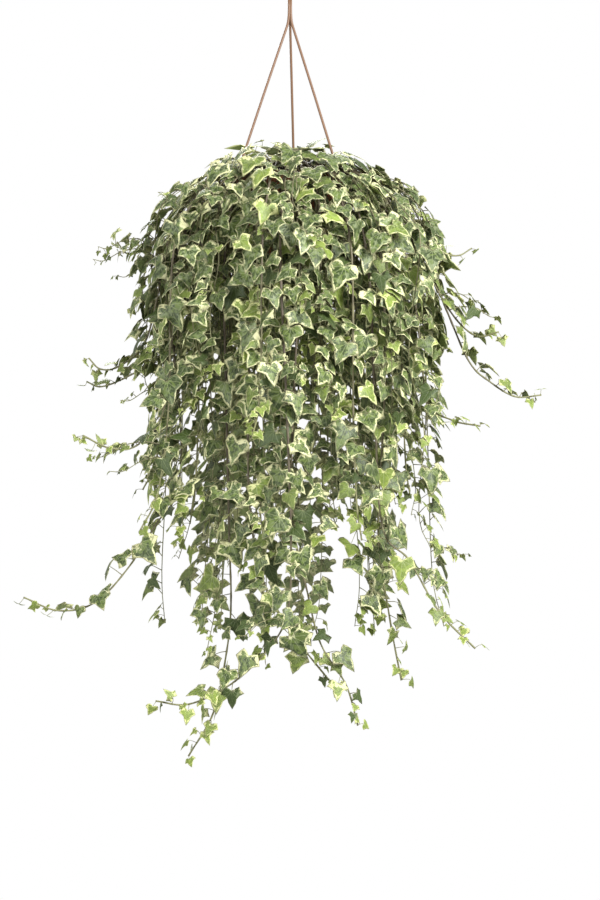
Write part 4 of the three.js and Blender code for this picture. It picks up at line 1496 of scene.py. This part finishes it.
# The middle of the picture, and each light's name, place and width, in metres
VIEW_MIDDLE = Vector((0.014, 0, -0.677))
LIGHTS = (
    ("key", (1.7, -1.8, 0.6), 1.2),
    ("fill", (-2.0, -1.6, -0.6), 1.8),
    ("back", (-0.3, 2.2, 0.7), 1.4),
)


class IVY_OT_stage(bpy.types.Operator):
    """A pale floor, white surroundings, soft lights and the camera"""

    bl_idname = "ivy.stage"
    bl_label = "Set the stage"

    def execute(self, context):
        settings = context.scene.ivy_stage
        scene = context.scene
        scene.view_settings.view_transform = "Standard"
        add_floor(settings)
        add_surroundings(settings)
        for name, place, size in LIGHTS:
            light = bpy.data.lights.new(name + "_light", "AREA")
            light.shape = "DISK"
            light.size = size
            light.energy = getattr(settings, name + "_power")
            aimed(light, place)
        rise = settings.camera_elevation
        away = Vector((0, -math.cos(rise), math.sin(rise))) * settings.camera_distance
        camera = aimed(bpy.data.cameras.new("camera"), VIEW_MIDDLE + away)
        camera.data.sensor_fit = "VERTICAL"
        camera.data.lens = camera.data.sensor_height * settings.camera_distance / settings.view_height
        scene.camera = camera
        return {"FINISHED"}


def aimed(data, place):
    """A light or camera at a place, turned to the middle of the picture."""
    thing = in_scene(data.name, data)
    thing.location = place
    thing.rotation_euler = (VIEW_MIDDLE - thing.location).to_track_quat("-Z", "Y").to_euler()
    return thing


def add_floor(settings):
    """A wide pale disc that fades into the white surroundings towards its edge."""
    bm = bmesh.new()
    bmesh.ops.create_circle(bm, cap_ends=True, radius=6, segments=96)
    bmesh.ops.translate(bm, verts=bm.verts, vec=(0, 0, -settings.floor_depth))
    floor = in_scene("floor", mesh_of("floor", bm))
    f = Finish("pale_floor")
    x, y, _ = f.split(f.where())
    fade = f.step(f.distance(x, y), 0.05, 0.45)
    f.set(base_color=(0.86, 0.86, 0.85), roughness=0.9)
    glow = f.node("ShaderNodeEmission", {"Color": (1.0, 1.0, 1.0), "Strength": 1.0}).outputs[0]
    both = f.node("ShaderNodeMixShader", {0: fade, 1: f.shader.outputs[0], 2: glow})
    f.links.new(both.outputs[0], f.nodes["Material Output"].inputs["Surface"])
    floor.data.materials.append(f.material)
    # its glow is only there to be seen and doesn't light the plant
    floor.visible_diffuse = False
    floor.visible_glossy = False
    floor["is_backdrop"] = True


def add_surroundings(settings):
    """White to look at, but dimmer as a light, so that the gaps between the leaves stay deep."""
    world = bpy.data.worlds.new("white_room")
    world.use_nodes = True
    nodes, links = world.node_tree.nodes, world.node_tree.links
    share = nodes.new("ShaderNodeMapRange")
    share.inputs["To Min"].default_value = settings.sky
    links.new(nodes.new("ShaderNodeLightPath").outputs["Is Camera Ray"], share.inputs["Value"])
    nodes["Background"].inputs["Color"].default_value = (1, 1, 1, 1)
    links.new(share.outputs["Result"], nodes["Background"].inputs["Strength"])
    bpy.context.scene.world = world


class IVY_PT_sidebar(bpy.types.Panel):
    """Lists the pieces of the hanging ivy"""

    bl_idname = "IVY_PT_sidebar"
    bl_label = "Hanging ivy"
    bl_space_type = "VIEW_3D"
    bl_region_type = "UI"
    bl_category = "Ivy"

    def draw(self, context):
        for operator in OPERATORS:
            self.layout.operator(operator.bl_idname)
        for group in (context.scene.ivy_foliage, context.scene.ivy_pot, context.scene.ivy_stage):
            box = self.layout.box()
            for name in group.__annotations__:
                box.prop(group, name)


SETTINGS = {"ivy_foliage": IvyFoliageSettings, "ivy_pot": IvyPotSettings, "ivy_stage": IvyStageSettings}
OPERATORS = (IVY_OT_hanger, IVY_OT_pot, IVY_OT_soil, IVY_OT_foliage, IVY_OT_stage)


def register():
    for cls in (*SETTINGS.values(), *OPERATORS, IVY_PT_sidebar):
        bpy.utils.register_class(cls)
    for name, group in SETTINGS.items():
        setattr(bpy.types.Scene, name, PointerProperty(type=group))


def unregister():
    for name in SETTINGS:
        delattr(bpy.types.Scene, name)
    for cls in (IVY_PT_sidebar, *reversed(OPERATORS), *SETTINGS.values()):
        bpy.utils.unregister_class(cls)


def main():
    register()
    for operator in ("hanger", "pot", "soil", "foliage", "stage"):
        getattr(bpy.ops.ivy, operator)()
    boxes = {"cad": cad_bounds, "visual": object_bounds()}
    {name: [list(map(float, corner)) for corner in box] for name, box in boxes.items()}


if __name__ == "__main__":
    main()
